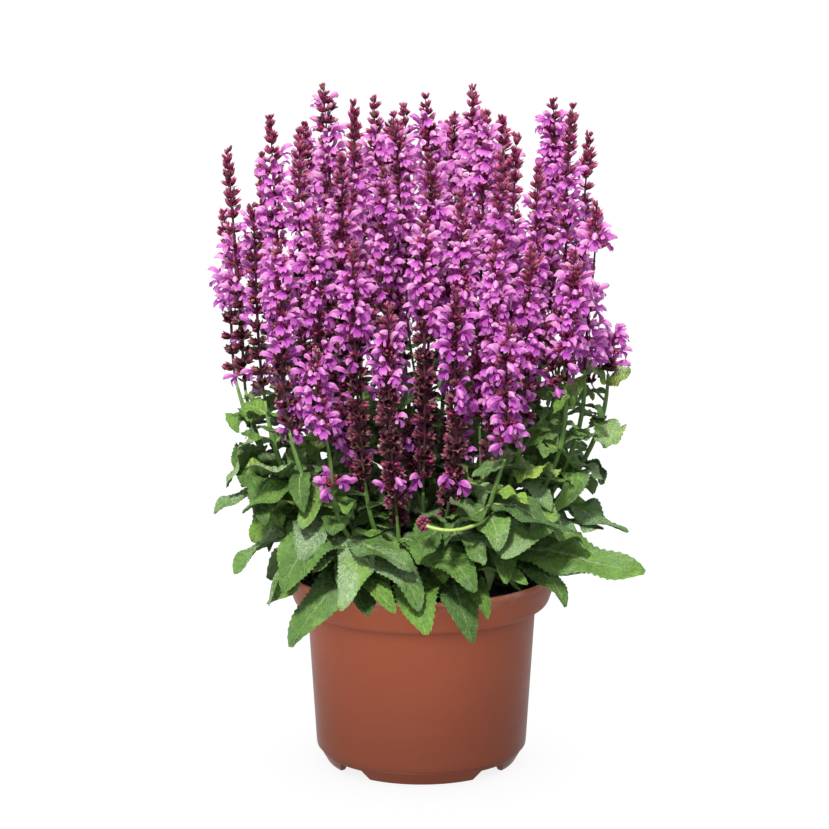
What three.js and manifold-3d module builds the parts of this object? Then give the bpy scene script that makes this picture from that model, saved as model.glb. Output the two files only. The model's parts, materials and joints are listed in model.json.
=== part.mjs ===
// A potted perennial salvia: a round nursery pot on four feet, potting soil, twelve rooted
// clumps of square leafy stems, and one flower spike on the end of each stem.
// Millimetres, +Z up. The origin is the pot's axis at the level its feet stand on.

import * as THREE from 'three';
import { mergeVertices } from 'three/addons/utils/BufferGeometryUtils.js';
import Module from 'manifold-3d';

const wasm = await Module();
wasm.setup();

// ---------------------------------------------------------------- driving dimensions

const GAP = 0.3; // air left between pieces that touch on the real thing
const SMALLEST_EDGE = 0.05; // shorter edges are dropped where solids are joined

// Pot
const LIP_RADIUS = 95;
const LIP_WIDTH = 2.6;
const LIP_DEPTH = 3;
const POT_HEIGHT = 136;
const BAND_HEIGHT = 24; // the flared band under the lip
const BAND_BOTTOM_RADIUS = 87;
const BODY_TOP_RADIUS = 77.7;
const BODY_BOTTOM_RADIUS = 71.2;
const FOOT_RADIUS = 64.5;
const FOOT_HEIGHT = 9.3;
const FOOT_WALL = 4;
const FOOT_COUNT = 4;
const FOOT_GAP_ANGLE = THREE.MathUtils.degToRad(15);
const FOOT_GAP_FLARE = 5; // the gap between two feet is wider at the ground by this, each side
const WALL = 1.7;
const FLOOR_UNDERSIDE = 7;
const FLOOR_TOP = 9.5;
const DRAIN_HOLE_RADIUS = 6;
const DRAIN_HOLE_CIRCLE = 44;
const DRAIN_HOLE_SIDES = 8;
const POT_SIDES = 28;

// Soil
const SOIL_LEVEL = 124;
const SOIL_CRUMB = 1.3; // height of the crumbs
const SOIL_RING_RADIUS = 62; // between this ring and the middle the crumbs lie in wedges
const SOIL_SIDES = 20;
const STEM_ROOT_DEPTH = 4;

// Stems fan out from the middle of the pot and then rise almost straight
const SPREAD_AT_SOIL = 0.38;
const FAN_HEIGHT = 150;
const LEAN_SHARE = 0.15;
const FULL_HEIGHT = 460;
const STEM_SIDE = 2.9;
const OUTER_STEM_RADIUS = 84; // stems whose tips stand further out carry most of the leaves
const OUTER_STEM_STEPS = 4;
const INNER_STEM_STEPS = 2;
const GATHER_HEIGHT = 36; // the stems of a clump draw together over this height
const GATHER_SLACK = 0.12; // share of their spacing that is left at the rootstock

// Rootstock of a clump
const CROWN_RADIUS = 6.6;
const CROWN_DEPTH = 14;
const CROWN_TOP = 5;
const CROWN_SIDES = 6;
const CROWN_TAPER = 2;

// Flower spikes
const FLORETS = 3; // in a whorl
const WHORL_GAP_TOP = 9.5;
const WHORL_GAP_STEP = 1.13;
const WHORL_GAP_MAX = 19;
const BUD_SHARE = 0.3; // share of the flowering length over which buds open
const FLORET_REACH = 12;
const BUD_REACH = 5;
const WAIST_RADIUS = 2.5;
const TIP_WAIST_RADIUS = 2;
const VALLEY_SHARE = 0.38; // radius between two florets, as a share of their reach
const FLORET_DROOP = 0.26; // how far a floret's tip hangs, as a share of its reach
const SPIKE_TURN = 2.4; // radians from one spike's first floret to the next spike's

// Each clump holds the shoots that share a rootstock: [x, y, z] of the spike's tip, and
// the length of the stem that carries flowers.
const CLUMPS = [
  [[-128, -14, 426, 165], [-134, 26, 378, 120], [-101, 10, 445, 180], [-111, -50, 397, 135]],
  [[-94, -84, 378, 128], [-69, -80, 394, 158], [-80, -34, 442, 185], [-67, -116, 315, 100]],
  [[-44, -98, 381, 165], [-21, -114, 344, 149], [-52, -58, 432, 195], [-25, -71, 425, 200]],
  [[1, -98, 398, 190], [22, -116, 354, 148], [5, -50, 431, 205], [25, -78, 410, 185]],
  [[48, -100, 382, 155], [58, -124, 332, 92], [72, -84, 375, 120], [52, -66, 434, 185]],
  [[98, -78, 370, 90], [114, -45, 397, 115], [77, -50, 424, 175], [100, -14, 456, 180]],
  [[127, -6, 300, 30], [113, 44, 427, 165], [88, 26, 454, 190]],
  [[-66, 14, 465, 200], [-45, -12, 458, 200], [-32, 34, 452, 190], [-19, -34, 454, 195]],
  [[2, -2, 461, 200], [34, 22, 462, 195], [42, -28, 455, 200], [63, -2, 435, 185]],
  [[-108, 60, 410, 135], [-79, 54, 433, 170], [-68, 102, 413, 150], [-45, 76, 430, 170]],
  [[-12, 64, 442, 180], [22, 66, 436, 180], [-22, 106, 424, 160], [18, 106, 425, 160]],
  [[54, 60, 436, 180], [56, 104, 427, 160], [88, 74, 425, 165]],
];

// The large leaves of the outer stems: shoot number, height of the root on its stem,
// [x, y, z] of the tip, width of the blade, and how far the midrib arches.
const LARGE_LEAVES = [
  { shoot: 8, root: 178, tip: [-53, -125, 143], width: 23, arch: 12 },
  { shoot: 8, root: 174, tip: [-4, -113, 168], width: 28, arch: 10 },
  { shoot: 8, root: 150, tip: [-16, -114, 141], width: 22, arch: 12 },
  { shoot: 5, root: 146, tip: [-88, -112, 113], width: 32, arch: 22 },
  { shoot: 5, root: 150, tip: [-108, -62, 134], width: 22, arch: 12 },
  { shoot: 4, root: 168, tip: [-125, -74, 152], width: 25, arch: 14 },
  { shoot: 1, root: 182, tip: [-137, -48, 186], width: 20, arch: 10 },
  { shoot: 1, root: 236, tip: [-131, -40, 200], width: 22, arch: 9 },
  { shoot: 1, root: 240, tip: [-92, -38, 262], width: 19, arch: 6 },
  { shoot: 4, root: 205, tip: [-74, -98, 228], width: 24, arch: 8 },
  { shoot: 5, root: 190, tip: [-61, -106, 172], width: 24, arch: 9 },
  { shoot: 5, root: 166, tip: [-72, -100, 160], width: 26, arch: 10 },
  { shoot: 13, root: 178, tip: [-38, -84, 184], width: 16, arch: 6 },
  { shoot: 14, root: 150, tip: [2, -120, 126], width: 32, arch: 16 },
  { shoot: 14, root: 184, tip: [-5, -122, 178], width: 25, arch: 6 },
  { shoot: 14, root: 190, tip: [26, -128, 170], width: 20, arch: 6 },
  { shoot: 18, root: 196, tip: [24, -96, 234], width: 20, arch: 5 },
  { shoot: 18, root: 198, tip: [50, -130, 186], width: 22, arch: 8 },
  { shoot: 19, root: 190, tip: [88, -96, 190], width: 28, arch: 9 },
  { shoot: 21, root: 192, tip: [52, -120, 168], width: 28, arch: 12 },
  { shoot: 21, root: 178, tip: [113, -52, 163], width: 26, arch: 9 },
  { shoot: 21, root: 160, tip: [145, -56, 137], width: 38, arch: 16 },
  { shoot: 21, root: 146, tip: [97, -92, 134], width: 24, arch: 16 },
  { shoot: 19, root: 146, tip: [72, -104, 152], width: 20, arch: 12 },
  { shoot: 18, root: 148, tip: [40, -124, 132], width: 14, arch: 12 },
  { shoot: 18, root: 140, tip: [36, -116, 112], width: 30, arch: 24 },
  { shoot: 21, root: 216, tip: [66, -98, 228], width: 26, arch: 7 },
  { shoot: 25, root: 264, tip: [145, -10, 274], width: 14, arch: 4 },
  { shoot: 25, root: 264, tip: [103, -26, 286], width: 14, arch: 4 },
  { shoot: 25, root: 238, tip: [121, -42, 227], width: 22, arch: 7 },
];

// A thin side shoot that ends in a small cluster of buds: shoot number, height of its root,
// [x, y, z] of the middle of the cluster, and how far the shoot sags between them.
const SIDE_SHOOT = { shoot: 18, root: 198, end: [1, -126, 199], sag: 7 };
const SIDE_SHOOT_SIDE = 1.8;
const SIDE_SHOOT_STEPS = 5;
const BUD_CLUSTER_RADIUS = 5;

// Smaller leaves sit in pairs on every outer stem, each pair turned a quarter from the last
const LEAF_PAIRS = [
  { height: 148, length: 64, drop: 30, spread: 0.9, teeth: 4 },
  { height: 176, length: 60, drop: 25, spread: 1.5, teeth: 3 },
  { height: 206, length: 48, drop: 18, spread: 0.9, teeth: 3 },
  { height: 238, length: 38, drop: 8, spread: 1.5, teeth: 3 },
];
const LEAF_SWING = 0.7; // radians over which the direction of a leaf varies
const LEAF_SIZE_SPREAD = 0.3;
const LEAF_DROP_SPREAD = 14;
const LEAF_ASPECT = 0.46;
const LEAF_ARCH = 0.34;
const LEAF_SHED = 0.62; // share of these leaves lost in the shade of the others
const LEAF_BELOW_FLOWERS = 6; // bare stem under the flowers
const PLANT_HALF_WIDTH = 147;
const PLANT_HALF_DEPTH = 136;
const LEAF_TURNS = [0, 20, -20, 40, -40, 60, -60]; // degrees a leaf may turn to stay clear
const LEAF_LIFTS = [0, 10, -10]; // and how far its tip may rise or sink
const LEAF_CLEARANCE = 0.5;
const CLEAR_FROM_SHARE = 0.3; // from here on a leaf is clear of the stems of its own clump

// A leaf's blade is folded a little along its midrib and toothed along both edges
const LARGE_LEAF_TEETH = 4;
const LEAF_THICKNESS = 1.6;
const LEAF_FOLD = THREE.MathUtils.degToRad(14);
const BLADE_BROADEST = 0.72; // less than 1 moves the broadest place towards the stalk
const BLADE_FULLNESS = 0.8; // less than 1 rounds the outline
const STALK_SHARE = 0.2;
const STALK_ROOT_HALF_WIDTH = 0.9;
const STALK_END_HALF_WIDTH = 1.1;
const TOOTH_PEAK = 0.72; // where a tooth stands out furthest, as a share of its length
const TOOTH_SWELL = 1.08; // width at a tooth, as a share of the blade's own outline
const NOTCH_SWELL = 0.84; // and at the notch after it

const SEED = 20;

// ---------------------------------------------------------------- materials

const POT_COLOUR = new THREE.MeshStandardMaterial({ color: 0xa65238, roughness: 0.5, metalness: 0 });
const SOIL_COLOUR = new THREE.MeshStandardMaterial({ color: 0x2a1f1a, roughness: 1, metalness: 0 });
const LEAF_COLOUR = new THREE.MeshStandardMaterial({ color: 0x4d7a38, roughness: 0.65, metalness: 0 });
const FLOWER_COLOUR = new THREE.MeshStandardMaterial({ color: 0xc766c9, roughness: 0.6, metalness: 0 });

// ---------------------------------------------------------------- solids and meshes

function solidOf(geometry) {
  const bare = geometry.clone();
  bare.deleteAttribute('normal');
  bare.deleteAttribute('uv');
  const merged = mergeVertices(bare, 1e-4);
  return new wasm.Manifold(new wasm.Mesh({
    numProp: 3,
    vertProperties: new Float32Array(merged.attributes.position.array),
    triVerts: new Uint32Array(merged.index.array),
  }));
}

function geometryOf(solid) {
  const mesh = solid.getMesh();
  const geometry = new THREE.BufferGeometry();
  geometry.setAttribute('position', new THREE.BufferAttribute(mesh.vertProperties, 3));
  geometry.setIndex(new THREE.BufferAttribute(mesh.triVerts, 1));
  return geometry;
}

function solidFromFaces(points, faces) {
  const geometry = new THREE.BufferGeometry().setFromPoints(points);
  geometry.setIndex(faces.flat());
  return solidOf(geometry);
}

// Joins solids into one body: a pocket that the joining seals is filled, and a scrap or an
// edge shorter than the smallest edge is dropped
function joined(solids) {
  const bodies = solids.reduce((sum, solid) => sum.add(solid)).decompose();
  const body = bodies.reduce((best, next) => (next.volume() > best.volume() ? next : best));
  return body.asOriginal().simplify(SMALLEST_EDGE);
}

function namedMesh(name, solid, material) {
  const mesh = new THREE.Mesh(geometryOf(solid), material);
  mesh.name = name;
  return mesh;
}

function turned(profile, sides) {
  const points = profile.map(([radius, height]) => new THREE.Vector2(radius, height));
  const geometry = new THREE.LatheGeometry(points, sides);
  geometry.rotateX(Math.PI / 2); // the lathe's axis becomes Z
  return geometry;
}

function drawsFrom(seed) {
  let state = seed >>> 0;
  return () => {
    state = (Math.imul(state, 1664525) + 1013904223) >>> 0;
    return state / 4294967296;
  };
}

// ---------------------------------------------------------------- pot

function potProfile() {
  const bandBottom = POT_HEIGHT - BAND_HEIGHT;
  return [
    [0, FLOOR_UNDERSIDE],
    [FOOT_RADIUS - FOOT_WALL, FLOOR_UNDERSIDE],
    [FOOT_RADIUS - FOOT_WALL, 0],
    [FOOT_RADIUS, 0],
    [BODY_BOTTOM_RADIUS - 1, FOOT_HEIGHT],
    [BODY_BOTTOM_RADIUS, FOOT_HEIGHT + 1],
    [BODY_TOP_RADIUS, bandBottom - 1],
    [BAND_BOTTOM_RADIUS - 1, bandBottom],
    [BAND_BOTTOM_RADIUS, bandBottom + 1.5],
    [LIP_RADIUS - 2, POT_HEIGHT - LIP_DEPTH - 1],
    [LIP_RADIUS, POT_HEIGHT - LIP_DEPTH],
    [LIP_RADIUS, POT_HEIGHT],
    [LIP_RADIUS - LIP_WIDTH, POT_HEIGHT],
    [BAND_BOTTOM_RADIUS - WALL, bandBottom + WALL + 1],
    [BODY_TOP_RADIUS - WALL, bandBottom + WALL],
    [BODY_BOTTOM_RADIUS - WALL, FLOOR_TOP],
    [0, FLOOR_TOP],
  ];
}

// A wedge with sloping ends, which lifts the wall off the ground between two feet
function footGap(angle) {
  const reach = BODY_BOTTOM_RADIUS + 5;
  const depth = reach - FOOT_RADIUS + 4 * FOOT_WALL;
  const halfTop = reach * Math.tan(FOOT_GAP_ANGLE / 2);
  const halfBottom = halfTop + FOOT_GAP_FLARE;
  const top = FLOOR_UNDERSIDE - 0.2;
  const outline = new THREE.Shape([
    new THREE.Vector2(-halfBottom, -1),
    new THREE.Vector2(halfBottom, -1),
    new THREE.Vector2(halfTop, top),
    new THREE.Vector2(-halfTop, top),
  ]);
  const geometry = new THREE.ExtrudeGeometry(outline, { depth, bevelEnabled: false });
  geometry.rotateX(Math.PI / 2);
  geometry.translate(0, reach, 0);
  geometry.rotateZ(angle);
  return solidOf(geometry);
}

function drainHole(x, y) {
  const depth = 4 * (FLOOR_TOP - FLOOR_UNDERSIDE);
  const geometry = new THREE.CylinderGeometry(
    DRAIN_HOLE_RADIUS,
    DRAIN_HOLE_RADIUS,
    depth,
    DRAIN_HOLE_SIDES,
  );
  geometry.rotateX(Math.PI / 2);
  geometry.translate(x, y, (FLOOR_UNDERSIDE + FLOOR_TOP) / 2);
  return solidOf(geometry);
}

function makePot() {
  let pot = solidOf(turned(potProfile(), POT_SIDES)).subtract(drainHole(0, 0));
  for (let i = 0; i < FOOT_COUNT; i += 1) {
    const quarter = i * 2 * Math.PI / FOOT_COUNT;
    pot = pot.subtract(footGap(quarter + Math.PI / FOOT_COUNT));
    pot = pot.subtract(drainHole(
      DRAIN_HOLE_CIRCLE * Math.cos(quarter),
      DRAIN_HOLE_CIRCLE * Math.sin(quarter),
    ));
  }
  return pot;
}

// ---------------------------------------------------------------- the fan of stems

const SHOOTS = CLUMPS.flatMap((shoots, clump) => shoots.map(([x, y, z, flowering]) => {
  const outer = Math.hypot(x, y) > OUTER_STEM_RADIUS;
  const steps = outer ? OUTER_STEM_STEPS : INNER_STEM_STEPS;
  return { clump, tip: new THREE.Vector3(x, y, z), flowering, base: z - flowering, outer, steps };
}));

function spread(z) {
  const climb = THREE.MathUtils.clamp((z - SOIL_LEVEL) / FAN_HEIGHT, 0, 1);
  const fan = 1 - (1 - SPREAD_AT_SOIL) * (1 - climb) ** 2;
  const lean = (z - SOIL_LEVEL) / (FULL_HEIGHT - SOIL_LEVEL);
  return (1 - LEAN_SHARE) * fan + LEAN_SHARE * lean;
}

function fanPoint(shoot, z) {
  const share = spread(z) / spread(shoot.tip.z);
  return new THREE.Vector3(shoot.tip.x * share, shoot.tip.y * share, z);
}

function crownCentre(clump) {
  const members = SHOOTS.filter((shoot) => shoot.clump === clump);
  const centre = new THREE.Vector3();
  for (const shoot of members) {
    centre.add(fanPoint(shoot, SOIL_LEVEL));
  }
  return centre.divideScalar(members.length);
}

const CROWNS = CLUMPS.map((_, clump) => crownCentre(clump));

// Where a stem's middle is at a height: gathered at its crown near the soil, free above
function stemPoint(shoot, z) {
  const free = fanPoint(shoot, z);
  const gathered = CROWNS[shoot.clump].clone().lerp(fanPoint(shoot, SOIL_LEVEL), GATHER_SLACK);
  const collar = SOIL_LEVEL + CROWN_TOP;
  const climb = THREE.MathUtils.smoothstep(z, collar, collar + GATHER_HEIGHT);
  const middle = gathered.lerp(free, climb);
  return new THREE.Vector3(middle.x, middle.y, z);
}

// The upper corner of a leaning stem's end rises above its middle, so the stem stops lower
function stemTop(shoot) {
  const slope = fanPoint(shoot, shoot.base).distanceTo(fanPoint(shoot, shoot.base - 1));
  return shoot.base - GAP - STEM_SIDE * Math.SQRT1_2 * Math.sqrt(slope ** 2 - 1);
}

// A stem is straight between its joints, which are closer together low down
function jointHeight(shoot, t) {
  return THREE.MathUtils.lerp(SOIL_LEVEL - STEM_ROOT_DEPTH, stemTop(shoot), t ** 1.5);
}

class StemPath extends THREE.Curve {
  constructor(shoot) {
    super();
    this.shoot = shoot;
  }

  getPoint(t) {
    return stemPoint(this.shoot, jointHeight(this.shoot, t));
  }

  getUtoTmapping(u) {
    return u;
  }
}

// The point of the stem at a height, on the straight run between its two joints
function pointOnStem(shoot, z) {
  let step = 1;
  while (step < shoot.steps && jointHeight(shoot, step / shoot.steps) < z) {
    step += 1;
  }
  const low = jointHeight(shoot, (step - 1) / shoot.steps);
  const high = jointHeight(shoot, step / shoot.steps);
  return stemPoint(shoot, low).lerp(stemPoint(shoot, high), (z - low) / (high - low));
}

// ---------------------------------------------------------------- stems and rootstocks

function squareSection(side) {
  const half = side / 2;
  return new THREE.Shape([
    new THREE.Vector2(-half, -half),
    new THREE.Vector2(half, -half),
    new THREE.Vector2(half, half),
    new THREE.Vector2(-half, half),
  ]);
}

function sweptSolid(path, side, steps) {
  return solidOf(new THREE.ExtrudeGeometry(squareSection(side), { steps, extrudePath: path }));
}

function makeStem(shoot) {
  return sweptSolid(new StemPath(shoot), STEM_SIDE, shoot.steps);
}

function makeSideShoot() {
  const root = pointOnStem(SHOOTS[SIDE_SHOOT.shoot - 1], SIDE_SHOOT.root);
  const end = new THREE.Vector3(...SIDE_SHOOT.end);
  const middle = root.clone().lerp(end, 0.5).add(new THREE.Vector3(0, 0, -2 * SIDE_SHOOT.sag));
  const path = new THREE.QuadraticBezierCurve3(root, middle, end);
  const buds = new THREE.IcosahedronGeometry(BUD_CLUSTER_RADIUS, 0);
  buds.translate(end.x, end.y, end.z);
  return sweptSolid(path, SIDE_SHOOT_SIDE, SIDE_SHOOT_STEPS).add(solidOf(buds));
}

function crownPrism(clump, topRadius, bottomRadius, top, bottom) {
  const geometry = new THREE.CylinderGeometry(topRadius, bottomRadius, top - bottom, CROWN_SIDES);
  geometry.rotateX(Math.PI / 2);
  geometry.translate(CROWNS[clump].x, CROWNS[clump].y, SOIL_LEVEL + (top + bottom) / 2);
  return solidOf(geometry);
}

function makeCrown(clump) {
  return crownPrism(clump, CROWN_RADIUS - CROWN_TAPER, CROWN_RADIUS, CROWN_TOP, -CROWN_DEPTH);
}

// A plain hole in the soil, wide enough to leave the gap along the flats too
function crownHole(clump) {
  const radius = CROWN_RADIUS + GAP / Math.cos(Math.PI / CROWN_SIDES);
  return crownPrism(clump, radius, radius, 2 * CROWN_TOP, -CROWN_DEPTH - GAP);
}

// ---------------------------------------------------------------- soil

// Two crossing ripples stand for the crumbs of the soil
function crumbHeight(x, y) {
  return SOIL_CRUMB * (Math.sin(x / 5.1 + Math.sin(y / 7.3)) + Math.sin(y / 4.3 + x / 13));
}

// Inside radius of the flared band at the level of the soil
function soilEdgeRadius() {
  const low = POT_HEIGHT - BAND_HEIGHT + WALL + 1;
  const climb = (SOIL_LEVEL - low) / (POT_HEIGHT - low);
  return THREE.MathUtils.lerp(BAND_BOTTOM_RADIUS - WALL, LIP_RADIUS - LIP_WIDTH, climb);
}

function soilProfile() {
  const bandBottom = POT_HEIGHT - BAND_HEIGHT + WALL;
  return [
    [0, FLOOR_TOP + GAP],
    [BODY_BOTTOM_RADIUS - WALL - 2 * GAP, FLOOR_TOP + GAP],
    [BODY_TOP_RADIUS - WALL - 2 * GAP, bandBottom + GAP],
    [BAND_BOTTOM_RADIUS - WALL - 3 * GAP, bandBottom + 1 + GAP],
    [soilEdgeRadius() - 2 * GAP, SOIL_LEVEL],
    [SOIL_RING_RADIUS, SOIL_LEVEL],
    [0, SOIL_LEVEL],
  ];
}

function makeSoil() {
  const geometry = turned(soilProfile(), SOIL_SIDES);
  const positions = geometry.attributes.position;
  for (let i = 0; i < positions.count; i += 1) {
    const x = positions.getX(i);
    const y = positions.getY(i);
    if (positions.getZ(i) > SOIL_LEVEL - 1 && Math.hypot(x, y) < SOIL_RING_RADIUS + 1) {
      positions.setZ(i, SOIL_LEVEL + crumbHeight(x, y));
    }
  }
  let soil = solidOf(geometry);
  CLUMPS.forEach((_, clump) => {
    soil = soil.subtract(crownHole(clump));
  });
  return soil;
}

// ---------------------------------------------------------------- leaves

// Half the blade's width at a share of its length: broadest before the middle, pointed ahead
function halfWidth(along, width) {
  return 0.5 * width * Math.sin(Math.PI * along ** BLADE_BROADEST) ** BLADE_FULLNESS;
}

// The frame of the blade at a share of its midrib: the point, and across and upward directions
function bladeFrame(leaf, t) {
  const root = leaf.rootPoint;
  const middle = root.clone().lerp(leaf.tip, 0.5).add(new THREE.Vector3(0, 0, leaf.arch));
  const curve = new THREE.QuadraticBezierCurve3(root, middle, leaf.tip);
  const run = leaf.tip.clone().sub(root);
  const across = new THREE.Vector3(-run.y, run.x, 0).normalize();
  const along = curve.getTangent(t);
  const up = new THREE.Vector3().crossVectors(along, across).normalize();
  return { point: curve.getPoint(t), across, up };
}

// A corner of the blade: a share of the midrib, a distance to the side, and a lift off it
function bladeCorner(leaf, t, side, lift) {
  const { point, across, up } = bladeFrame(leaf, t);
  point.addScaledVector(across, side * Math.cos(LEAF_FOLD));
  return point.addScaledVector(up, Math.abs(side) * Math.sin(LEAF_FOLD) + lift);
}

// A section of the blade: left edge, top of the midrib, right edge, underside of the midrib
function bladeSection(leaf, t, reach, half) {
  return [
    bladeCorner(leaf, t, reach, 0),
    bladeCorner(leaf, t, 0, half),
    bladeCorner(leaf, t, -reach, 0),
    bladeCorner(leaf, t, 0, -half),
  ];
}

function stalkFaces(root, end) {
  return root.flatMap((corner, i) => {
    const j = (i + 1) % root.length;
    return [[corner, root[j], end[i]], [root[j], end[j], end[i]]];
  });
}

function endFaces([left, top, right, bottom]) {
  return [[left, bottom, top], [top, bottom, right]];
}

// The faces of one pair of teeth, split alike on the upper and the lower side
function toothFaces([left, top, right, bottom], [leftTooth, rightTooth], next) {
  const [nextLeft, nextTop, nextRight, nextBottom] = next;
  return [
    [left, top, leftTooth], [top, nextTop, leftTooth], [leftTooth, nextTop, nextLeft],
    [right, rightTooth, top], [top, rightTooth, nextTop], [rightTooth, nextRight, nextTop],
    [bottom, left, leftTooth], [bottom, leftTooth, nextBottom], [leftTooth, nextLeft, nextBottom],
    [bottom, rightTooth, right], [bottom, nextBottom, rightTooth],
    [rightTooth, nextBottom, nextRight],
  ];
}

// One closed blade on its stalk. "grow" makes it larger all round, and "from" leaves out all
// that comes before that share of the midrib.
function leafSolid(leaf, grow = 0, from = 0) {
  const points = [];
  const faces = [];
  const add = (list) => list.map((point) => points.push(point) - 1);
  const half = LEAF_THICKNESS / 2 + grow;
  const start = Math.max(STALK_SHARE, from);
  const along = (share) => THREE.MathUtils.lerp(start, 1, share);
  let section = add(bladeSection(leaf, start, STALK_END_HALF_WIDTH + grow, half));
  if (from > 0) {
    faces.push(...endFaces(section));
  } else {
    const root = add(bladeSection(leaf, 0, STALK_ROOT_HALF_WIDTH + grow, half));
    faces.push(...endFaces(root), ...stalkFaces(root, section));
  }
  for (let tooth = 0; tooth < leaf.teeth; tooth += 1) {
    const peak = (tooth + TOOTH_PEAK) / leaf.teeth;
    const notch = (tooth + 1) / leaf.teeth;
    const reach = halfWidth(peak, leaf.width) * TOOTH_SWELL + grow;
    const teeth = add([reach, -reach].map((side) => bladeCorner(leaf, along(peak), side, 0)));
    const next = notch < 1
      ? add(bladeSection(leaf, along(notch), halfWidth(notch, leaf.width) * NOTCH_SWELL + grow, half))
      : Array(4).fill(add([bladeCorner(leaf, 1, 0, 0)])[0]);
    faces.push(...toothFaces(section, teeth, next));
    section = next;
  }
  // the four corners meet at the leaf's tip, where faces with two corners alike have no area
  return solidFromFaces(points, faces.filter((face) => new Set(face).size === 3));
}

// The same leaf turned about its root and with its tip raised, to pass clear of a neighbour
function turnedLeaf(leaf, degrees, lift) {
  const run = leaf.tip.clone().sub(leaf.rootPoint);
  run.applyAxisAngle(new THREE.Vector3(0, 0, 1), THREE.MathUtils.degToRad(degrees));
  const tip = leaf.rootPoint.clone().add(run).add(new THREE.Vector3(0, 0, lift));
  return { ...leaf, tip };
}

function largeLeaves() {
  return LARGE_LEAVES.map(({ shoot, root, tip, width, arch }) => {
    const stem = SHOOTS[shoot - 1];
    const rootPoint = pointOnStem(stem, root);
    return {
      clump: stem.clump,
      rootPoint,
      tip: new THREE.Vector3(...tip),
      width,
      arch,
      teeth: LARGE_LEAF_TEETH,
    };
  });
}

// One leaf of a pair on a shoot. Its random draws are made whether or not the leaf is kept.
function pairedLeaf(shoot, pair, side, draw) {
  const swing = LEAF_SWING * (draw() - 0.5);
  const size = 1 + LEAF_SIZE_SPREAD * (draw() - 0.5);
  const drop = pair.drop + LEAF_DROP_SPREAD * (draw() - 0.5);
  const shed = draw() < LEAF_SHED;
  if (shed || !shoot.outer || pair.height > shoot.base - LEAF_BELOW_FLOWERS) {
    return null;
  }
  const azimuth = Math.atan2(shoot.tip.y, shoot.tip.x) + side * pair.spread + swing;
  const length = pair.length * size;
  const rootPoint = pointOnStem(shoot, pair.height);
  const run = new THREE.Vector3(length * Math.cos(azimuth), length * Math.sin(azimuth), -drop);
  return {
    clump: shoot.clump,
    rootPoint,
    tip: rootPoint.clone().add(run),
    width: length * LEAF_ASPECT,
    arch: length * LEAF_ARCH,
    teeth: pair.teeth,
  };
}

function pairedLeaves() {
  const draw = drawsFrom(SEED);
  const leaves = SHOOTS.flatMap((shoot) => LEAF_PAIRS.flatMap((pair) => (
    [-1, 1].map((side) => pairedLeaf(shoot, pair, side, draw))
  )));
  return leaves.filter((leaf) => leaf !== null);
}

// ---------------------------------------------------------------- keeping leaves clear

function boxesMeet(a, b) {
  return [0, 1, 2].every((axis) => a.min[axis] <= b.max[axis] && b.min[axis] <= a.max[axis]);
}

function crosses(solid, obstacles) {
  const box = solid.boundingBox();
  return obstacles.some((obstacle) => (
    boxesMeet(box, obstacle.box) && solid.intersect(obstacle.solid).volume() > 1e-6
  ));
}

function obstacleOf(solid, clump) {
  return { solid, clump, box: solid.boundingBox() };
}

function insidePlant(tip) {
  return Math.abs(tip.x) <= PLANT_HALF_WIDTH && Math.abs(tip.y) <= PLANT_HALF_DEPTH;
}

// A leaf stays clear of other clumps all along, and of its own clump past its stalk
function standsClear(leaf, obstacles) {
  const others = obstacles.filter((obstacle) => obstacle.clump !== leaf.clump);
  const own = obstacles.filter((obstacle) => obstacle.clump === leaf.clump);
  return !crosses(leafSolid(leaf, LEAF_CLEARANCE), others)
    && !crosses(leafSolid(leaf, LEAF_CLEARANCE, CLEAR_FROM_SHARE), own);
}

// Tries each turn and lift in order, and keeps the first that touches nothing; else no leaf
function fitLeaf(leaf, obstacles) {
  for (const lift of LEAF_LIFTS) {
    for (const degrees of LEAF_TURNS) {
      const attempt = turnedLeaf(leaf, degrees, lift);
      if (insidePlant(attempt.tip) && standsClear(attempt, obstacles)) {
        return leafSolid(attempt);
      }
    }
  }
  return null;
}

// ---------------------------------------------------------------- flower spikes

// Whorl heights from the tip downward: close together in bud, further apart below. The
// lowest whorl ends where the flowering part of the stem does.
function whorlDepths(flowering) {
  const depths = [];
  let gap = WHORL_GAP_TOP;
  let depth = gap * 0.8;
  while (depth + gap / 2 < flowering) {
    depths.push(depth);
    gap = Math.min(gap * WHORL_GAP_STEP, WHORL_GAP_MAX);
    depth += gap;
  }
  const stretch = (flowering - gap / 2) / depths.at(-1);
  return depths.map((value) => value * stretch);
}

function floretReach(share) {
  const opened = THREE.MathUtils.smoothstep(share, 0, BUD_SHARE);
  return THREE.MathUtils.lerp(BUD_REACH, FLORET_REACH, opened);
}

function aroundAxis(centre, radius, angle, rise = 0) {
  return new THREE.Vector3(
    centre.x + radius * Math.cos(angle),
    centre.y + radius * Math.sin(angle),
    centre.z + rise,
  );
}

// The slim part between two whorls
function waistPoints(centre, turn, radius) {
  return Array.from({ length: FLORETS }, (_, i) => (
    aroundAxis(centre, radius, turn + i * 2 * Math.PI / FLORETS)
  ));
}

// One whorl is a star: a floret's tip hangs down, and the valley between two florets lies
// higher. Every second whorl is turned by half a floret, so that its florets stand over the
// valleys of the one below.
function whorlPoints(centre, turn, reach, row) {
  const valley = Math.max(reach * VALLEY_SHARE, WAIST_RADIUS);
  return Array.from({ length: 2 * FLORETS }, (_, i) => {
    const angle = turn + i * Math.PI / FLORETS;
    return (i + row) % 2 === 0
      ? aroundAxis(centre, reach, angle, -FLORET_DROOP * reach)
      : aroundAxis(centre, valley, angle, FLORET_DROOP * valley);
  });
}

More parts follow.
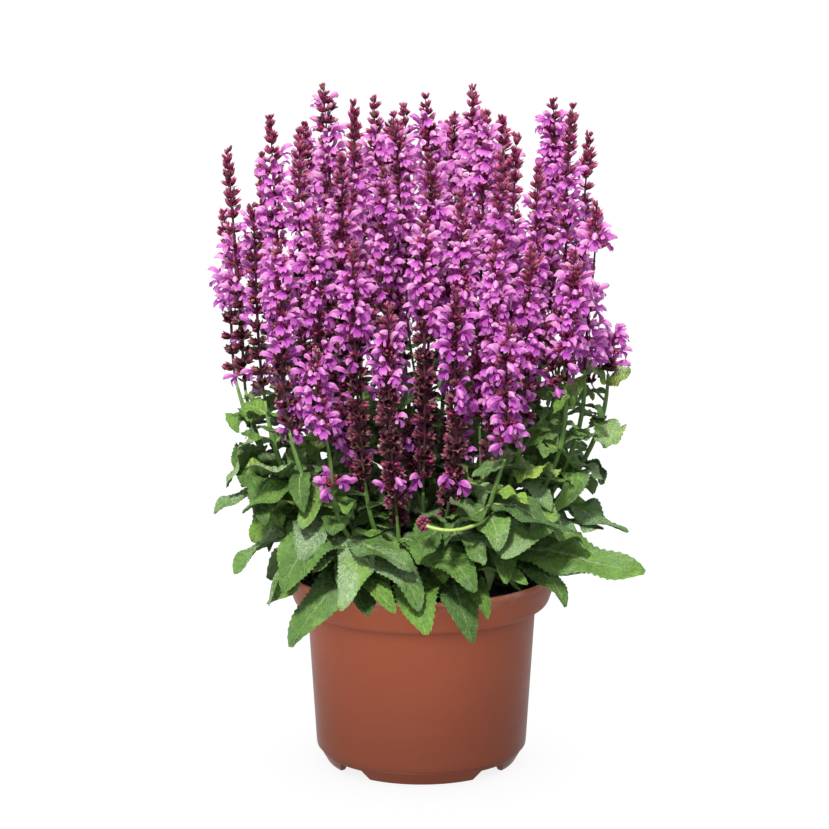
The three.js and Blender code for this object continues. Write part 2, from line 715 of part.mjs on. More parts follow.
function whorlFaces(upper, star, lower) {
  return upper.flatMap((_, i) => {
    const j = (i + 1) % FLORETS;
    const before = star.at(2 * i - 1);
    const level = star[2 * i];
    const after = star[2 * i + 1];
    return [
      [upper[i], before, level], [upper[i], level, after], [upper[i], after, upper[j]],
      [lower[i], level, before], [lower[i], after, level], [lower[i], lower[j], after],
    ];
  });
}

// Closes a ring of corners with triangles that face downward
function fanFaces(ring) {
  return ring.slice(2).map((corner, i) => [ring[0], corner, ring[i + 1]]);
}

// A spike is a stack of whorls round a slim stalk, with a pointed tip and a flat lower end
function makeSpike(shoot, number) {
  const points = [];
  const faces = [];
  const turn = number * SPIKE_TURN;
  const add = (list) => list.map((point) => points.push(point) - 1);
  const at = (depth) => fanPoint(shoot, shoot.tip.z - depth);
  const depths = whorlDepths(shoot.flowering);
  const apex = add([at(0)])[0];
  let upper = add(waistPoints(at(depths[0] / 2), turn, TIP_WAIST_RADIUS));
  faces.push(...upper.map((corner, i) => [corner, upper[(i + 1) % FLORETS], apex]));
  depths.forEach((depth, row) => {
    const star = add(whorlPoints(at(depth), turn, floretReach(depth / shoot.flowering), row));
    const below = row + 1 < depths.length ? (depth + depths[row + 1]) / 2 : shoot.flowering;
    const lower = add(waistPoints(at(below), turn, WAIST_RADIUS));
    faces.push(...whorlFaces(upper, star, lower));
    upper = lower;
  });
  faces.push(...fanFaces(upper));
  return solidFromFaces(points, faces);
}

// ---------------------------------------------------------------- assembly

function twoDigits(number) {
  return String(number).padStart(2, '0');
}

function makePlant() {
  const pot = makePot();
  const soil = makeSoil();
  const spikes = SHOOTS.map((shoot, i) => makeSpike(shoot, i + 1));
  const greens = CLUMPS.map((_, clump) => [makeCrown(clump)]);
  SHOOTS.forEach((shoot) => greens[shoot.clump].push(makeStem(shoot)));
  greens[SHOOTS[SIDE_SHOOT.shoot - 1].clump].push(makeSideShoot());
  const obstacles = [
    obstacleOf(pot, -1),
    obstacleOf(soil, -1),
    ...spikes.map((spike) => obstacleOf(spike, -1)),
    ...greens.flatMap((solids, clump) => solids.map((solid) => obstacleOf(solid, clump))),
  ];
  for (const leaf of [...largeLeaves(), ...pairedLeaves()]) {
    const solid = fitLeaf(leaf, obstacles);
    if (solid) {
      greens[leaf.clump].push(solid);
      obstacles.push(obstacleOf(solid, leaf.clump));
    }
  }
  return { pot, soil, spikes, greens };
}

const plant = new THREE.Group();
const { pot, soil, spikes, greens } = makePlant();
plant.add(namedMesh('pot', pot, POT_COLOUR));
plant.add(namedMesh('soil', soil, SOIL_COLOUR));
greens.forEach((solids, clump) => {
  plant.add(namedMesh(`leafy_stems_${twoDigits(clump + 1)}`, joined(solids), LEAF_COLOUR));
});
spikes.forEach((spike, i) => {
  plant.add(namedMesh(`flower_spike_${twoDigits(i + 1)}`, spike, FLOWER_COLOUR));
});

export default plant;
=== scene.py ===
# %% [markdown]
# # A perennial salvia in its nursery pot
#
# This lesson dresses a finished construction model of a potted salvia. The model, called the
# frame here, holds one plain closed solid for the pot, the soil, every clump of leafy stems and
# every flower spike, at real size. Blender's share is the look: real florets in place of plain
# stars, leaves with veins and teeth, a turned pot with soft edges, and a material for each.
# Everything is in metres, +Z up, and sits where the frame says.

# %% Load the frame
import json
import math

import bpy
import numpy as np
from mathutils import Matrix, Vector
from mathutils.kdtree import KDTree

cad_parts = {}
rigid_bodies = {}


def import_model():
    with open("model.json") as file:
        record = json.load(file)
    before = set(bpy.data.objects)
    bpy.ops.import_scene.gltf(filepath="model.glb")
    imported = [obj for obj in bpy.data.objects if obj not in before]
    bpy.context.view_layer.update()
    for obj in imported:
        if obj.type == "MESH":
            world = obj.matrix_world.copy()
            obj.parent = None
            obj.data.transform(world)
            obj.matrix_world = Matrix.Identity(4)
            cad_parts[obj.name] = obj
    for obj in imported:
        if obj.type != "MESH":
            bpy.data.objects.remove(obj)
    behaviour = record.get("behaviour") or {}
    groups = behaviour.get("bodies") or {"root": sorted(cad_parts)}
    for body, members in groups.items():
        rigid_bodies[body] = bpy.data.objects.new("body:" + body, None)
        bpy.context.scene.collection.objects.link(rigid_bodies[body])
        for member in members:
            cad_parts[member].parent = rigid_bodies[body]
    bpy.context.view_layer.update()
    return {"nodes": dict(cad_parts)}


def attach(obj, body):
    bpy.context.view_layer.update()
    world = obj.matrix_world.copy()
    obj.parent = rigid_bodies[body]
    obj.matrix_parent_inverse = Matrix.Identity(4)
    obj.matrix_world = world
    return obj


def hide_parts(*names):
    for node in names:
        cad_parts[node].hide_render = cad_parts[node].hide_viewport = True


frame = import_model()
MM = 0.001

# %% [markdown]
# ## Camera
#
# A plant portrait is taken from far away with a long lens, because a near camera would make the
# front leaves too large beside the back ones. The camera looks slightly down, so that the rim of
# the pot shows as a shallow curve. It is placed from one distance, one pitch and the point that
# it aims at, which are easier to adjust than six numbers of position and rotation.

# %% Camera
CAMERA_DISTANCE = 3.0
CAMERA_PITCH = math.radians(13.92)
CAMERA_AIM = Vector((-0.0047, 0.0, 0.2406))
CAMERA_LENS = 193.5
CAMERA_SENSOR = 36

camera = bpy.data.objects.new("camera", bpy.data.cameras.new("camera"))
camera.data.lens = CAMERA_LENS
camera.data.sensor_width = CAMERA_SENSOR
back = Vector((0, -math.cos(CAMERA_PITCH), math.sin(CAMERA_PITCH)))
camera.location = CAMERA_AIM + CAMERA_DISTANCE * back
camera.rotation_euler = (math.pi / 2 - CAMERA_PITCH, 0, 0)
bpy.context.collection.objects.link(camera)
bpy.context.scene.camera = camera
print("camera at", [round(x, 3) for x in camera.location])

# %% [markdown]
# ## Floor and light
#
# The plant stands on plain white paper that is lit from below, as on a light table, so that hardly
# any shadow falls on it. The paper is kept out of the bounce light, or it would wash out the foot
# of the pot. A hazy sun, high in front and a little to the left, gives the leaves light tops and
# soft-edged shade. The pot has a broad soft box of its own, in front on the left at a middle
# height, which models its round body. Light linking tells each lamp which pieces it lights and
# which ones shade it: leaves don't shade the soft box, so no stripes fall on the pot. The sky is
# bright overhead and dim towards the ground, so that undersides and the heart of the plant stay
# deep.

# %% Floor and light
FLOOR_SIZE = 14
FLOOR_GREY = 0.22
FLOOR_GLOW = 0.84
SUN = {"strength": 4.6, "softness": 7, "from": (-0.2, -0.85, 1.0), "colour": (1.0, 0.97, 0.93)}
SOFT_BOX = {"strength": 2.2, "softness": 60, "from": (-0.45, -1.0, 0.55), "colour": (1.0, 0.98, 0.96)}
SKY_COLOUR = (0.95, 0.98, 1.0)
SKY_OVERHEAD = 1.1
SKY_BELOW = 0.34
SKY_FADE_START = -0.5
SKY_FADE_END = 0.9

scene = bpy.context.scene
scene.view_settings.view_transform = "Standard"


def lit_paper():
    material = bpy.data.materials.new("lit_paper")
    material.use_nodes = True
    shader = material.node_tree.nodes["Principled BSDF"]
    shader.inputs["Base Color"].default_value = (FLOOR_GREY, FLOOR_GREY, FLOOR_GREY, 1)
    shader.inputs["Roughness"].default_value = 0.95
    shader.inputs["Emission Color"].default_value = (1, 1, 1, 1)
    shader.inputs["Emission Strength"].default_value = FLOOR_GLOW
    return material


floor_mesh = bpy.data.meshes.new("floor")
half_floor = FLOOR_SIZE / 2
floor_corners = [(-1, -1), (1, -1), (1, 1), (-1, 1)]
floor_points = [(x * half_floor, y * half_floor, 0) for x, y in floor_corners]
floor_mesh.from_pydata(floor_points, [], [(0, 1, 2, 3)])
floor_mesh.materials.append(lit_paper())
floor = bpy.data.objects.new("floor", floor_mesh)
bpy.context.collection.objects.link(floor)
floor.visible_diffuse = False
floor.visible_glossy = False


def lamp(name, values, lights_up):
    """A sun lamp that lights only the pieces gathered in a collection."""
    light = bpy.data.objects.new(name, bpy.data.lights.new(name, "SUN"))
    light.data.energy = values["strength"]
    light.data.angle = math.radians(values["softness"])
    light.data.color = values["colour"]
    light.rotation_euler = Vector(values["from"]).to_track_quat("Z", "Y").to_euler()
    light.light_linking.receiver_collection = lights_up
    bpy.context.collection.objects.link(light)


in_the_sun = bpy.data.collections.new("in_the_sun")
by_the_soft_box = bpy.data.collections.new("by_the_soft_box")
lamp("hazy_sun", SUN, in_the_sun)
lamp("soft_box", SOFT_BOX, by_the_soft_box)
bpy.data.objects["soft_box"].light_linking.blocker_collection = by_the_soft_box

world = bpy.data.worlds.new("pale_sky")
world.use_nodes = True
sky = world.node_tree
height = sky.nodes.new("ShaderNodeSeparateXYZ")
brightness = sky.nodes.new("ShaderNodeMapRange")
sky.links.new(sky.nodes.new("ShaderNodeTexCoord").outputs["Generated"], height.inputs["Vector"])
sky.links.new(height.outputs["Z"], brightness.inputs["Value"])
sky.links.new(brightness.outputs["Result"], sky.nodes["Background"].inputs["Strength"])
sky_range = (SKY_FADE_START, SKY_FADE_END, SKY_BELOW, SKY_OVERHEAD)
for socket, value in zip(list(brightness.inputs)[1:5], sky_range):
    socket.default_value = value
sky.nodes["Background"].inputs["Color"].default_value = (*SKY_COLOUR, 1)
scene.world = world
print("floor", FLOOR_SIZE, "m wide, sun", SUN["strength"], "soft box", SOFT_BOX["strength"])

# %% [markdown]
# ## From numbers to a mesh
#
# A salvia repeats a few small forms thousands of times. Placing that many objects would be slow,
# so each form is made once as a small array of points, and copies are turned, scaled and moved
# with numpy and then gathered in one mesh for each piece. Every point also carries marks, such as
# how far along a leaf it lies, which the materials read to colour it.

# %% Gathering copies in one mesh
class Form:
    """Points, triangles and marks of one small shape, or of many gathered together."""

    def __init__(self, points, triangles, **marks):
        self.points = np.asarray(points, float).reshape(-1, 3)
        self.triangles = np.asarray(triangles, int).reshape(-1, 3)
        self.marks = {k: np.broadcast_to(v, len(self.points)) for k, v in marks.items()}

    def placed(self, origin, basis=None, scale=1.0, **marks):
        """A copy whose x, y and z axes lie along the rows of basis, with more marks."""
        points = self.points * scale
        if basis is not None:
            points = points @ np.asarray(basis)
        return Form(points + np.asarray(origin), self.triangles, **{**self.marks, **marks})


def gathered(forms):
    starts = np.cumsum([0] + [len(form.points) for form in forms[:-1]])
    names = sorted({name for form in forms for name in form.marks})
    return Form(
        np.concatenate([form.points for form in forms]),
        np.concatenate([form.triangles + start for form, start in zip(forms, starts)]),
        **{n: np.concatenate([f.marks.get(n, np.zeros(len(f.points))) for f in forms]) for n in names},
    )


def grid_triangles(rows, columns, closed=False):
    """Triangles between the points of a grid that is listed row by row."""
    across = columns if closed else columns - 1
    row, column = np.meshgrid(np.arange(rows - 1), np.arange(across), indexing="ij")
    right = (column + 1) % columns
    a, b = row * columns + column, row * columns + right
    c, d = a + columns, b + columns
    return np.stack([np.stack([a, b, d], -1), np.stack([a, d, c], -1)], 2).reshape(-1, 3)


triangle_count = {}


def make_piece(name, form, material, slot, stands_for):
    """One finished object from a form: it rides on the plant and stands for frame solids."""
    mesh = bpy.data.meshes.new(name)
    mesh.from_pydata(form.points, [], form.triangles)
    for mark, values in form.marks.items():
        mesh.attributes.new(mark, "FLOAT", "POINT").data.foreach_set("value", values.astype(np.float32))
    mesh.shade_smooth()
    mesh.materials.append(material)
    piece = bpy.data.objects.new(name, mesh)
    bpy.context.collection.objects.link(piece)
    lit_together = by_the_soft_box if slot == "pot_plastic" else in_the_sun
    lit_together.objects.link(piece)
    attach(piece, "root")
    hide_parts(*stands_for)
    triangle_count[name] = len(form.triangles)
    return piece


print("a grid of 3 rows and 4 columns has", len(grid_triangles(3, 4)), "triangles")

# %% [markdown]
# ## Reading the spikes from the frame
#
# A flower spike's solid is a stack of stars, highest at its tip, and it ends in three corners at
# the bottom. Those few points say where the finished spike stands. Between them the stem follows
# one rule for the whole plant: shoots fan out just above the soil and then rise almost straight.
# Repeating that rule here keeps every detail on the axis of its solid.

# %% Tips, bases and the fan of shoots
SOIL_LEVEL = 0.124
SPREAD_AT_SOIL = 0.38
FAN_HEIGHT = 0.15
LEAN_SHARE = 0.15
FULL_HEIGHT = 0.46
CLUMP_SIZES = (4, 4, 4, 4, 4, 4, 3, 4, 4, 4, 4, 3)
SWAY = 0.0013


def node_points(name):
    mesh = frame["nodes"][name].data
    points = np.empty(3 * len(mesh.vertices))
    mesh.vertices.foreach_get("co", points)
    return points.reshape(-1, 3)


def smoothstep(value, low, high):
    t = np.clip((value - low) / (high - low), 0, 1)
    return t * t * (3 - 2 * t)


def spread(z):
    climb = np.clip((z - SOIL_LEVEL) / FAN_HEIGHT, 0, 1)
    fan = 1 - (1 - SPREAD_AT_SOIL) * (1 - climb) ** 2
    lean = (z - SOIL_LEVEL) / (FULL_HEIGHT - SOIL_LEVEL)
    return (1 - LEAN_SHARE) * fan + LEAN_SHARE * lean


def fan_point(shoot, z):
    share = spread(z) / spread(shoot["tip"][2])
    return np.array([shoot["tip"][0] * share, shoot["tip"][1] * share, z])


def two_digits(number):
    return f"{number:02d}"


def sway(shoot, share):
    """A grown stem is never quite straight: a few waves that vanish at both of its ends."""
    bow, ess = shoot["sway"]
    return bow * math.sin(math.pi * share) + ess * math.sin(2 * math.pi * share)


def axis_point(shoot, z):
    """The middle of a spike at a height between its base and its tip."""
    share = (z - shoot["base"]) / (shoot["tip"][2] - shoot["base"])
    return fan_point(shoot, z) + sway(shoot, min(max(share, 0), 1))


shoots = []
draw = np.random.default_rng(1)
for clump, size in enumerate(CLUMP_SIZES):
    for _ in range(size):
        number = len(shoots) + 1
        points = node_points("flower_spike_" + two_digits(number))
        tip = points[points[:, 2].argmax()]
        waves = np.concatenate([draw.normal(0, SWAY, (2, 2)), np.zeros((2, 1))], axis=1)
        shoot = {"number": number, "clump": clump, "tip": tip, "base": points[:, 2].min(), "sway": waves}
        shoots.append(shoot)
print(len(shoots), "shoots, the tallest", round(max(s["tip"][2] for s in shoots), 3), "m")

# %% [markdown]
# ## Node helpers
#
# Every finish below is a small network of texture nodes. These helpers add one node or one link
# each, so that a material reads as a short recipe. Patterns use the piece's own coordinates or
# its marks, and never the camera, so they stay on the plant when the view changes.

# %% Small helpers for materials
class Recipe:
    """A new material, with short ways to add the nodes that its finish needs."""

    def __init__(self, name):
        self.material = bpy.data.materials.new(name)
        self.material.use_nodes = True
        self.tree = self.material.node_tree
        self.shader = self.tree.nodes["Principled BSDF"]
        self.output = self.tree.nodes["Material Output"]

    def node(self, kind, **inputs):
        node = self.tree.nodes.new(kind)
        for name, value in inputs.items():
            self.feed(node.inputs[name.replace("_", " ")], value)
        return node

    def feed(self, socket, value):
        if isinstance(value, bpy.types.NodeSocket):
            self.tree.links.new(value, socket)
        else:
            socket.default_value = value

    def mark(self, name):
        node = self.node("ShaderNodeAttribute")
        node.attribute_name = name
        return node.outputs["Fac"]

    def place(self, stretch=(1, 1, 1)):
        coordinates = self.node("ShaderNodeTexCoord").outputs["Object"]
        mapping = self.node("ShaderNodeMapping", Vector=coordinates, Scale=stretch)
        return mapping.outputs["Vector"]

    def noise(self, scale, detail=2.0, where=None):
        node = self.node("ShaderNodeTexNoise", Scale=scale, Detail=detail)
        self.feed(node.inputs["Vector"], where or self.place())
        return node.outputs["Fac"]

    def maths(self, operation, first, second=0.0, third=0.0):
        node = self.tree.nodes.new("ShaderNodeMath")
        node.operation = operation
        for socket, value in zip(node.inputs, (first, second, third)):
            self.feed(socket, value)
        return node.outputs["Value"]

    def band(self, value, low, high, to_low=0.0, to_high=1.0):
        """Carries low..high over to to_low..to_high, with nothing beyond either end."""
        node = self.node("ShaderNodeMapRange")
        node.interpolation_type = "SMOOTHSTEP"
        for socket, number in zip(node.inputs, (value, low, high, to_low, to_high)):
            self.feed(socket, number)
        return node.outputs["Result"]

    def ramp(self, value, stops):
        node = self.node("ShaderNodeValToRGB", Fac=value)
        elements = node.color_ramp.elements
        for element, (at, colour) in zip(elements, (stops[0], stops[-1])):
            element.position, element.color = at, (*colour, 1)
        for at, colour in stops[1:-1]:
            elements.new(at).color = (*colour, 1)
        return node.outputs["Color"]

    def mix(self, share, first, second):
        node = self.tree.nodes.new("ShaderNodeMix")
        node.data_type = "RGBA"
        sockets = (node.inputs[0], node.inputs[6], node.inputs[7])
        for socket, value in zip(sockets, (share, first, second)):
            self.feed(socket, (*value, 1) if isinstance(value, tuple) and len(value) == 3 else value)
        return node.outputs[2]

    def bump(self, height, strength, distance):
        node = self.node("ShaderNodeBump", Height=height, Strength=strength, Distance=distance)
        self.feed(self.shader.inputs["Normal"], node.outputs["Normal"])
        return node.outputs["Normal"]

    def let_light_through(self, colour, share, normal):
        """A thin petal or blade glows a little when it is lit from behind."""
        behind = self.node("ShaderNodeBsdfTranslucent", Color=colour, Normal=normal)
        mixed = self.node("ShaderNodeMixShader", Fac=share)
        self.tree.links.new(self.shader.outputs["BSDF"], mixed.inputs[1])
        self.tree.links.new(behind.outputs["BSDF"], mixed.inputs[2])
        self.tree.links.new(mixed.outputs["Shader"], self.output.inputs["Surface"])


print("Recipe:", Recipe.__doc__)

# %% [markdown]
# ## The pot
#
# The pot is thrown by a machine: terracotta-coloured plastic, blown thin, with a flared band
# under a rolled lip and four feet that are left where the wall is notched. Turning a profile is
# the natural way, since a mould for such a pot is turned too. The frame's pot has few sides, so
# this one is turned again from the same sizes with many, its corners are rounded by extra
# profile points, and the notches and drain holes are then cut by one Boolean.

# %% Sizes of the pot
LIP_RADIUS = 0.095
LIP_WIDTH = 0.0026
LIP_DEPTH = 0.003
POT_HEIGHT = 0.136
BAND_HEIGHT = 0.024
BAND_BOTTOM_RADIUS = 0.087
BODY_TOP_RADIUS = 0.0777
BODY_BOTTOM_RADIUS = 0.0712
FOOT_RADIUS = 0.0645
FOOT_HEIGHT = 0.0093
FOOT_WALL = 0.004
WALL = 0.0017
FLOOR_UNDERSIDE = 0.007
FLOOR_TOP = 0.0095
FOOT_GAP_ANGLE = math.radians(15)
FOOT_GAP_FLARE = 0.005
DRAIN_HOLE_RADIUS = 0.006
DRAIN_HOLE_CIRCLE = 0.044
CORNER_ROUNDING = 0.0009
POT_SIDES = 144
BAND_BOTTOM = POT_HEIGHT - BAND_HEIGHT


def rounded(corners, radius, steps=4):
    """The same outline with each corner between its ends rounded, by at most a third of a side."""
    corners = [np.array(corner, float) for corner in corners]
    outline = [corners[0]]
    for before, corner, after in zip(corners, corners[1:], corners[2:]):
        towards = [before - corner, after - corner]
        lengths = [np.linalg.norm(way) for way in towards]
        reach = min(radius, *(length / 3 for length in lengths))
        start, end = (corner + way / length * reach for way, length in zip(towards, lengths))
        for t in np.linspace(0, 1, steps):
            outline.append((1 - t) ** 2 * start + 2 * t * (1 - t) * corner + t ** 2 * end)
    return outline + [corners[-1]]


def turned(profile, sides):
    """A closed solid of revolution whose profile starts and ends on the axis."""
    angles = np.linspace(0, 2 * math.pi, sides, endpoint=False)
    rings = [[(r * math.cos(a), r * math.sin(a), z) for a in angles] for r, z in profile[1:-1]]
    points = np.array(rings).reshape(-1, 3)
    walls = grid_triangles(len(rings), sides, closed=True)
    low, high = len(points), len(points) + 1
    around = np.arange(sides)
    following = (around + 1) % sides
    last = low - sides
    bottom = np.stack([np.full(sides, low), following, around], -1)
    top = np.stack([last + around, last + following, np.full(sides, high)], -1)
    ends = [(0, 0, profile[0][1]), (0, 0, profile[-1][1])]
    return Form(np.concatenate([points, ends]), np.concatenate([bottom, walls, top]))


pot_outline = rounded([
    # the underside and a foot
    (0, FLOOR_UNDERSIDE),
    (FOOT_RADIUS - FOOT_WALL, FLOOR_UNDERSIDE),
    (FOOT_RADIUS - FOOT_WALL, 0),
    (FOOT_RADIUS, 0),
    # the heel: a fine groove, then the moulding line over it
    (BODY_BOTTOM_RADIUS - 0.0016, FOOT_HEIGHT - 0.0002),
    (BODY_BOTTOM_RADIUS - 0.0019, FOOT_HEIGHT + 0.0006),
    (BODY_BOTTOM_RADIUS + 0.0002, FOOT_HEIGHT + 0.0013),
    (BODY_BOTTOM_RADIUS + 0.0006, FOOT_HEIGHT + 0.006),
    # the body, the flared band and the lip
    (BODY_TOP_RADIUS, BAND_BOTTOM - 0.001),
    (BAND_BOTTOM_RADIUS - 0.0012, BAND_BOTTOM),
    (BAND_BOTTOM_RADIUS, BAND_BOTTOM + 0.002),
    (LIP_RADIUS - 0.002, POT_HEIGHT - LIP_DEPTH - 0.001),
    (LIP_RADIUS, POT_HEIGHT - LIP_DEPTH),
    (LIP_RADIUS, POT_HEIGHT),
    (LIP_RADIUS - LIP_WIDTH, POT_HEIGHT),
    # the inside, down to the floor
    (BAND_BOTTOM_RADIUS - WALL, BAND_BOTTOM + WALL + 0.001),
    (BODY_TOP_RADIUS - WALL, BAND_BOTTOM + WALL),
    (BODY_BOTTOM_RADIUS - WALL, FLOOR_TOP),
    (0, FLOOR_TOP),
], CORNER_ROUNDING)
print("the pot's profile has", len(pot_outline), "points")

# %% [markdown]
# ### Finish of the pot
#
# The plastic is satin: it mirrors the white surroundings softly, most along the edges of its
# round body. Blown plastic is never quite even, so the colour drifts a little between orange and
# brown, while the gloss comes and goes in flat patches over a fine grain. A painted shade darkens
# the colour steadily towards the foot. A pale film of dried water lies near the lip and specks of
# dust lie all over.
# A weak sheen stands for the dust that only shows at a flat angle.

# %% Terracotta-coloured plastic
FILM_DEPTH = 0.012
# the colour of the painted shade at the foot of the pot
FOOT_SHADE_COLOUR = (0.2, 0.045, 0.02)
DUST = (0.55, 0.42, 0.36)


def pot_plastic():
    recipe = Recipe("terracotta_plastic")
    drift = recipe.noise(14, 3)
    colour = recipe.ramp(drift, [(0.3, (0.35, 0.082, 0.036)), (0.7, (0.4, 0.097, 0.045))])
    height = recipe.node("ShaderNodeSeparateXYZ", Vector=recipe.place()).outputs["Z"]
    near_lip = recipe.band(height, POT_HEIGHT - FILM_DEPTH, POT_HEIGHT)
    patches = recipe.band(recipe.noise(60, 4), 0.42, 0.75)
    film = recipe.maths("MULTIPLY", near_lip, patches)
    speckle = recipe.band(recipe.noise(900, 2), 0.7, 0.8)
    dust = recipe.maths("MULTIPLY_ADD", speckle, 0.16, recipe.maths("MULTIPLY", film, 0.4))
    # painted shade: the plastic's colour is darkened steadily from the lip down to the foot
    shaded_to_foot = recipe.mix(recipe.band(height, 0.0, POT_HEIGHT, 1.0, 0.0), colour, FOOT_SHADE_COLOUR)
    recipe.feed(recipe.shader.inputs["Base Color"], recipe.mix(dust, shaded_to_foot, DUST))
    rubbed = recipe.noise(35, 5, recipe.place((1, 1, 3)))
    recipe.feed(recipe.shader.inputs["Roughness"], recipe.band(rubbed, 0.3, 0.7, 0.4, 0.5))
    recipe.shader.inputs["Specular IOR Level"].default_value = 0.4
    recipe.shader.inputs["Sheen Weight"].default_value = 0.3
    recipe.shader.inputs["Sheen Roughness"].default_value = 0.3
    fine = recipe.maths("MULTIPLY_ADD", recipe.noise(900, 3), 0.2, recipe.noise(24, 2))
    recipe.bump(fine, 0.1, 0.0003)
    return recipe.material


plastic = pot_plastic()
print("the plastic is made with", len(plastic.node_tree.nodes), "nodes")

# %% [markdown]
# ### Feet and drain holes
#
# The feet are what is left of the bottom edge between four notches, so the notches are cut as
# wedges, and the drain holes as short cylinders. All nine go in one closed cutter mesh, because
# one exact Boolean is quicker than nine and leaves cleaner edges. The result is kept as a plain
# mesh, with only its real edges sharp.

# %% Turn the pot and cut its feet
CUTTER_SPARE = 0.005
SHARP_ANGLE = math.radians(38)


def notch_and_hole_cutter():
    """Four wedges that part the feet, and five drain holes, in one closed mesh of blocks."""
    reach = BODY_BOTTOM_RADIUS + CUTTER_SPARE
    depth = reach - FOOT_RADIUS + 4 * FOOT_WALL
    half_top = reach * math.tan(FOOT_GAP_ANGLE / 2)
    half_low = half_top + FOOT_GAP_FLARE
    low, top = -0.001, FLOOR_UNDERSIDE - 0.0002
    section = [(-half_low, low), (half_low, low), (half_top, top), (-half_top, top)]
    ring = [(x, y, z) for y in (reach - depth, reach) for x, z in section]
    ends = [(0, 1, 2), (0, 2, 3), (6, 5, 4), (7, 6, 4)]
    wedge = Form(ring, np.concatenate([ends, grid_triangles(2, 4, closed=True)[:, ::-1]]))
    hole_low, hole_top = FLOOR_UNDERSIDE - CUTTER_SPARE, FLOOR_TOP + CUTTER_SPARE
    hole_side = [(DRAIN_HOLE_RADIUS, hole_low), (DRAIN_HOLE_RADIUS, hole_top)]
    hole = turned([(0, hole_low), *hole_side, (0, hole_top)], 32)
    parts = [hole]
    for quarter in range(4):
        turn = quarter * math.pi / 2
        cos, sin = math.cos(turn + math.pi / 4), math.sin(turn + math.pi / 4)
        parts.append(wedge.placed((0, 0, 0), [(cos, sin, 0), (-sin, cos, 0), (0, 0, 1)]))
        parts.append(hole.placed(DRAIN_HOLE_CIRCLE * np.array([math.cos(turn), math.sin(turn), 0])))
    return gathered(parts)


cutter_mesh = bpy.data.meshes.new("cutter")
cutter_form = notch_and_hole_cutter()
cutter_mesh.from_pydata(cutter_form.points, [], cutter_form.triangles)
cutter = bpy.data.objects.new("cutter", cutter_mesh)
bpy.context.collection.objects.link(cutter)
pot = make_piece("nursery_pot", turned(pot_outline, POT_SIDES), plastic, "pot_plastic", ["pot"])
cut = pot.modifiers.new("notches_and_holes", "BOOLEAN")
cut.operation = "DIFFERENCE"
cut.object = cutter
cut.solver = "EXACT"
cut_mesh = bpy.data.meshes.new_from_object(pot.evaluated_get(bpy.context.evaluated_depsgraph_get()))
pot.modifiers.clear()
pot.data = cut_mesh
pot.data.set_sharp_from_angle(angle=SHARP_ANGLE)
bpy.data.objects.remove(cutter)
print("the pot has", len(pot.data.polygons), "faces")

# %% [markdown]
# ## Potting soil
#
# Peat-based compost is dark, crumbly and a little fibrous. Its mass is the same turned solid as
# the frame's. The open surface is what one sees between the stems, so that part gets a fine ring
# grid raised by two sizes of waves, and several hundred loose crumbs pressed into it. A closed
# solid is kept, because the side and the bottom are real too.

# %% Soil with crumbs
SOIL_SIDES = 96
SOIL_RINGS = 34
SOIL_ROUGHNESS = 0.0013
SOIL_GAP = 0.0006
CRUMBS = 420
CRUMB_SIZES = (0.0007, 0.0022)
CRUMB_MARGIN = 0.004
soil_points = node_points("soil")
soil_edge = np.hypot(soil_points[:, 0], soil_points[:, 1]).max()


def soil_height(x, y):
    broad = np.sin(x / 0.0051 + np.sin(y / 0.0073)) + np.sin(y / 0.0043 + x / 0.013)
    fine = np.sin(x / 0.0019 + 2 * np.sin(y / 0.0023)) * np.sin(y / 0.0017 + x / 0.004)
    return SOIL_LEVEL + SOIL_ROUGHNESS * (0.7 * broad + 0.5 * fine)


def crumb(draw):
    """A lump of peat: a ball of twenty triangles with uneven corners."""
    angles = np.linspace(0, 2 * math.pi, 5, endpoint=False)
    rings = [[(math.cos(h) * math.cos(a), math.cos(h) * math.sin(a), math.sin(h)) for a in angles]
             for h in (-0.6, 0.6)]
    points = np.concatenate([np.reshape(rings, (-1, 3)), [(0, 0, -1), (0, 0, 1)]])
    low = [(10, (i + 1) % 5, i) for i in range(5)]
    high = [(11, 5 + i, 5 + (i + 1) % 5) for i in range(5)]
    points *= draw.uniform(0.7, 1.3, (len(points), 1))
    return Form(points, np.concatenate([low, grid_triangles(2, 5, closed=True), high]))


def soil_form():
    draw = np.random.default_rng(3)
    side = [
        (0, FLOOR_TOP + SOIL_GAP / 2),
        (BODY_BOTTOM_RADIUS - WALL - SOIL_GAP, FLOOR_TOP + SOIL_GAP / 2),
        (BODY_TOP_RADIUS - WALL - SOIL_GAP, BAND_BOTTOM + WALL + SOIL_GAP / 2),
        (BAND_BOTTOM_RADIUS - WALL - 1.5 * SOIL_GAP, BAND_BOTTOM + WALL + 0.001 + SOIL_GAP / 2),
    ]
    radii = np.linspace(soil_edge, 0, SOIL_RINGS)
    bed = turned(side + [(radius, SOIL_LEVEL) for radius in radii], SOIL_SIDES)
    x, y, z = bed.points.T
    inside = (z > SOIL_LEVEL - 1e-5) & (np.hypot(x, y) < soil_edge - 0.0005)
    bed.points[inside, 2] = soil_height(x[inside], y[inside])
    crumbs = []
    for _ in range(CRUMBS):
        radius = (soil_edge - CRUMB_MARGIN) * math.sqrt(draw.random())
        angle = draw.uniform(0, 2 * math.pi)
        x, y = radius * math.cos(angle), radius * math.sin(angle)
        size = draw.uniform(*CRUMB_SIZES)
        crumbs.append(crumb(draw).placed((x, y, soil_height(x, y) + size * 0.3), scale=size))
    return gathered([bed, *crumbs])


def peat():
    recipe = Recipe("peat_compost")
    grain = recipe.noise(420, 6)
    colour = recipe.ramp(grain, [
        (0.32, (0.004, 0.003, 0.0025)), (0.55, (0.018, 0.011, 0.008)), (0.72, (0.07, 0.042, 0.026)),
    ])
    recipe.feed(recipe.shader.inputs["Base Color"], colour)
    recipe.shader.inputs["Roughness"].default_value = 0.95
    recipe.bump(grain, 0.9, 0.001)
    return recipe.material


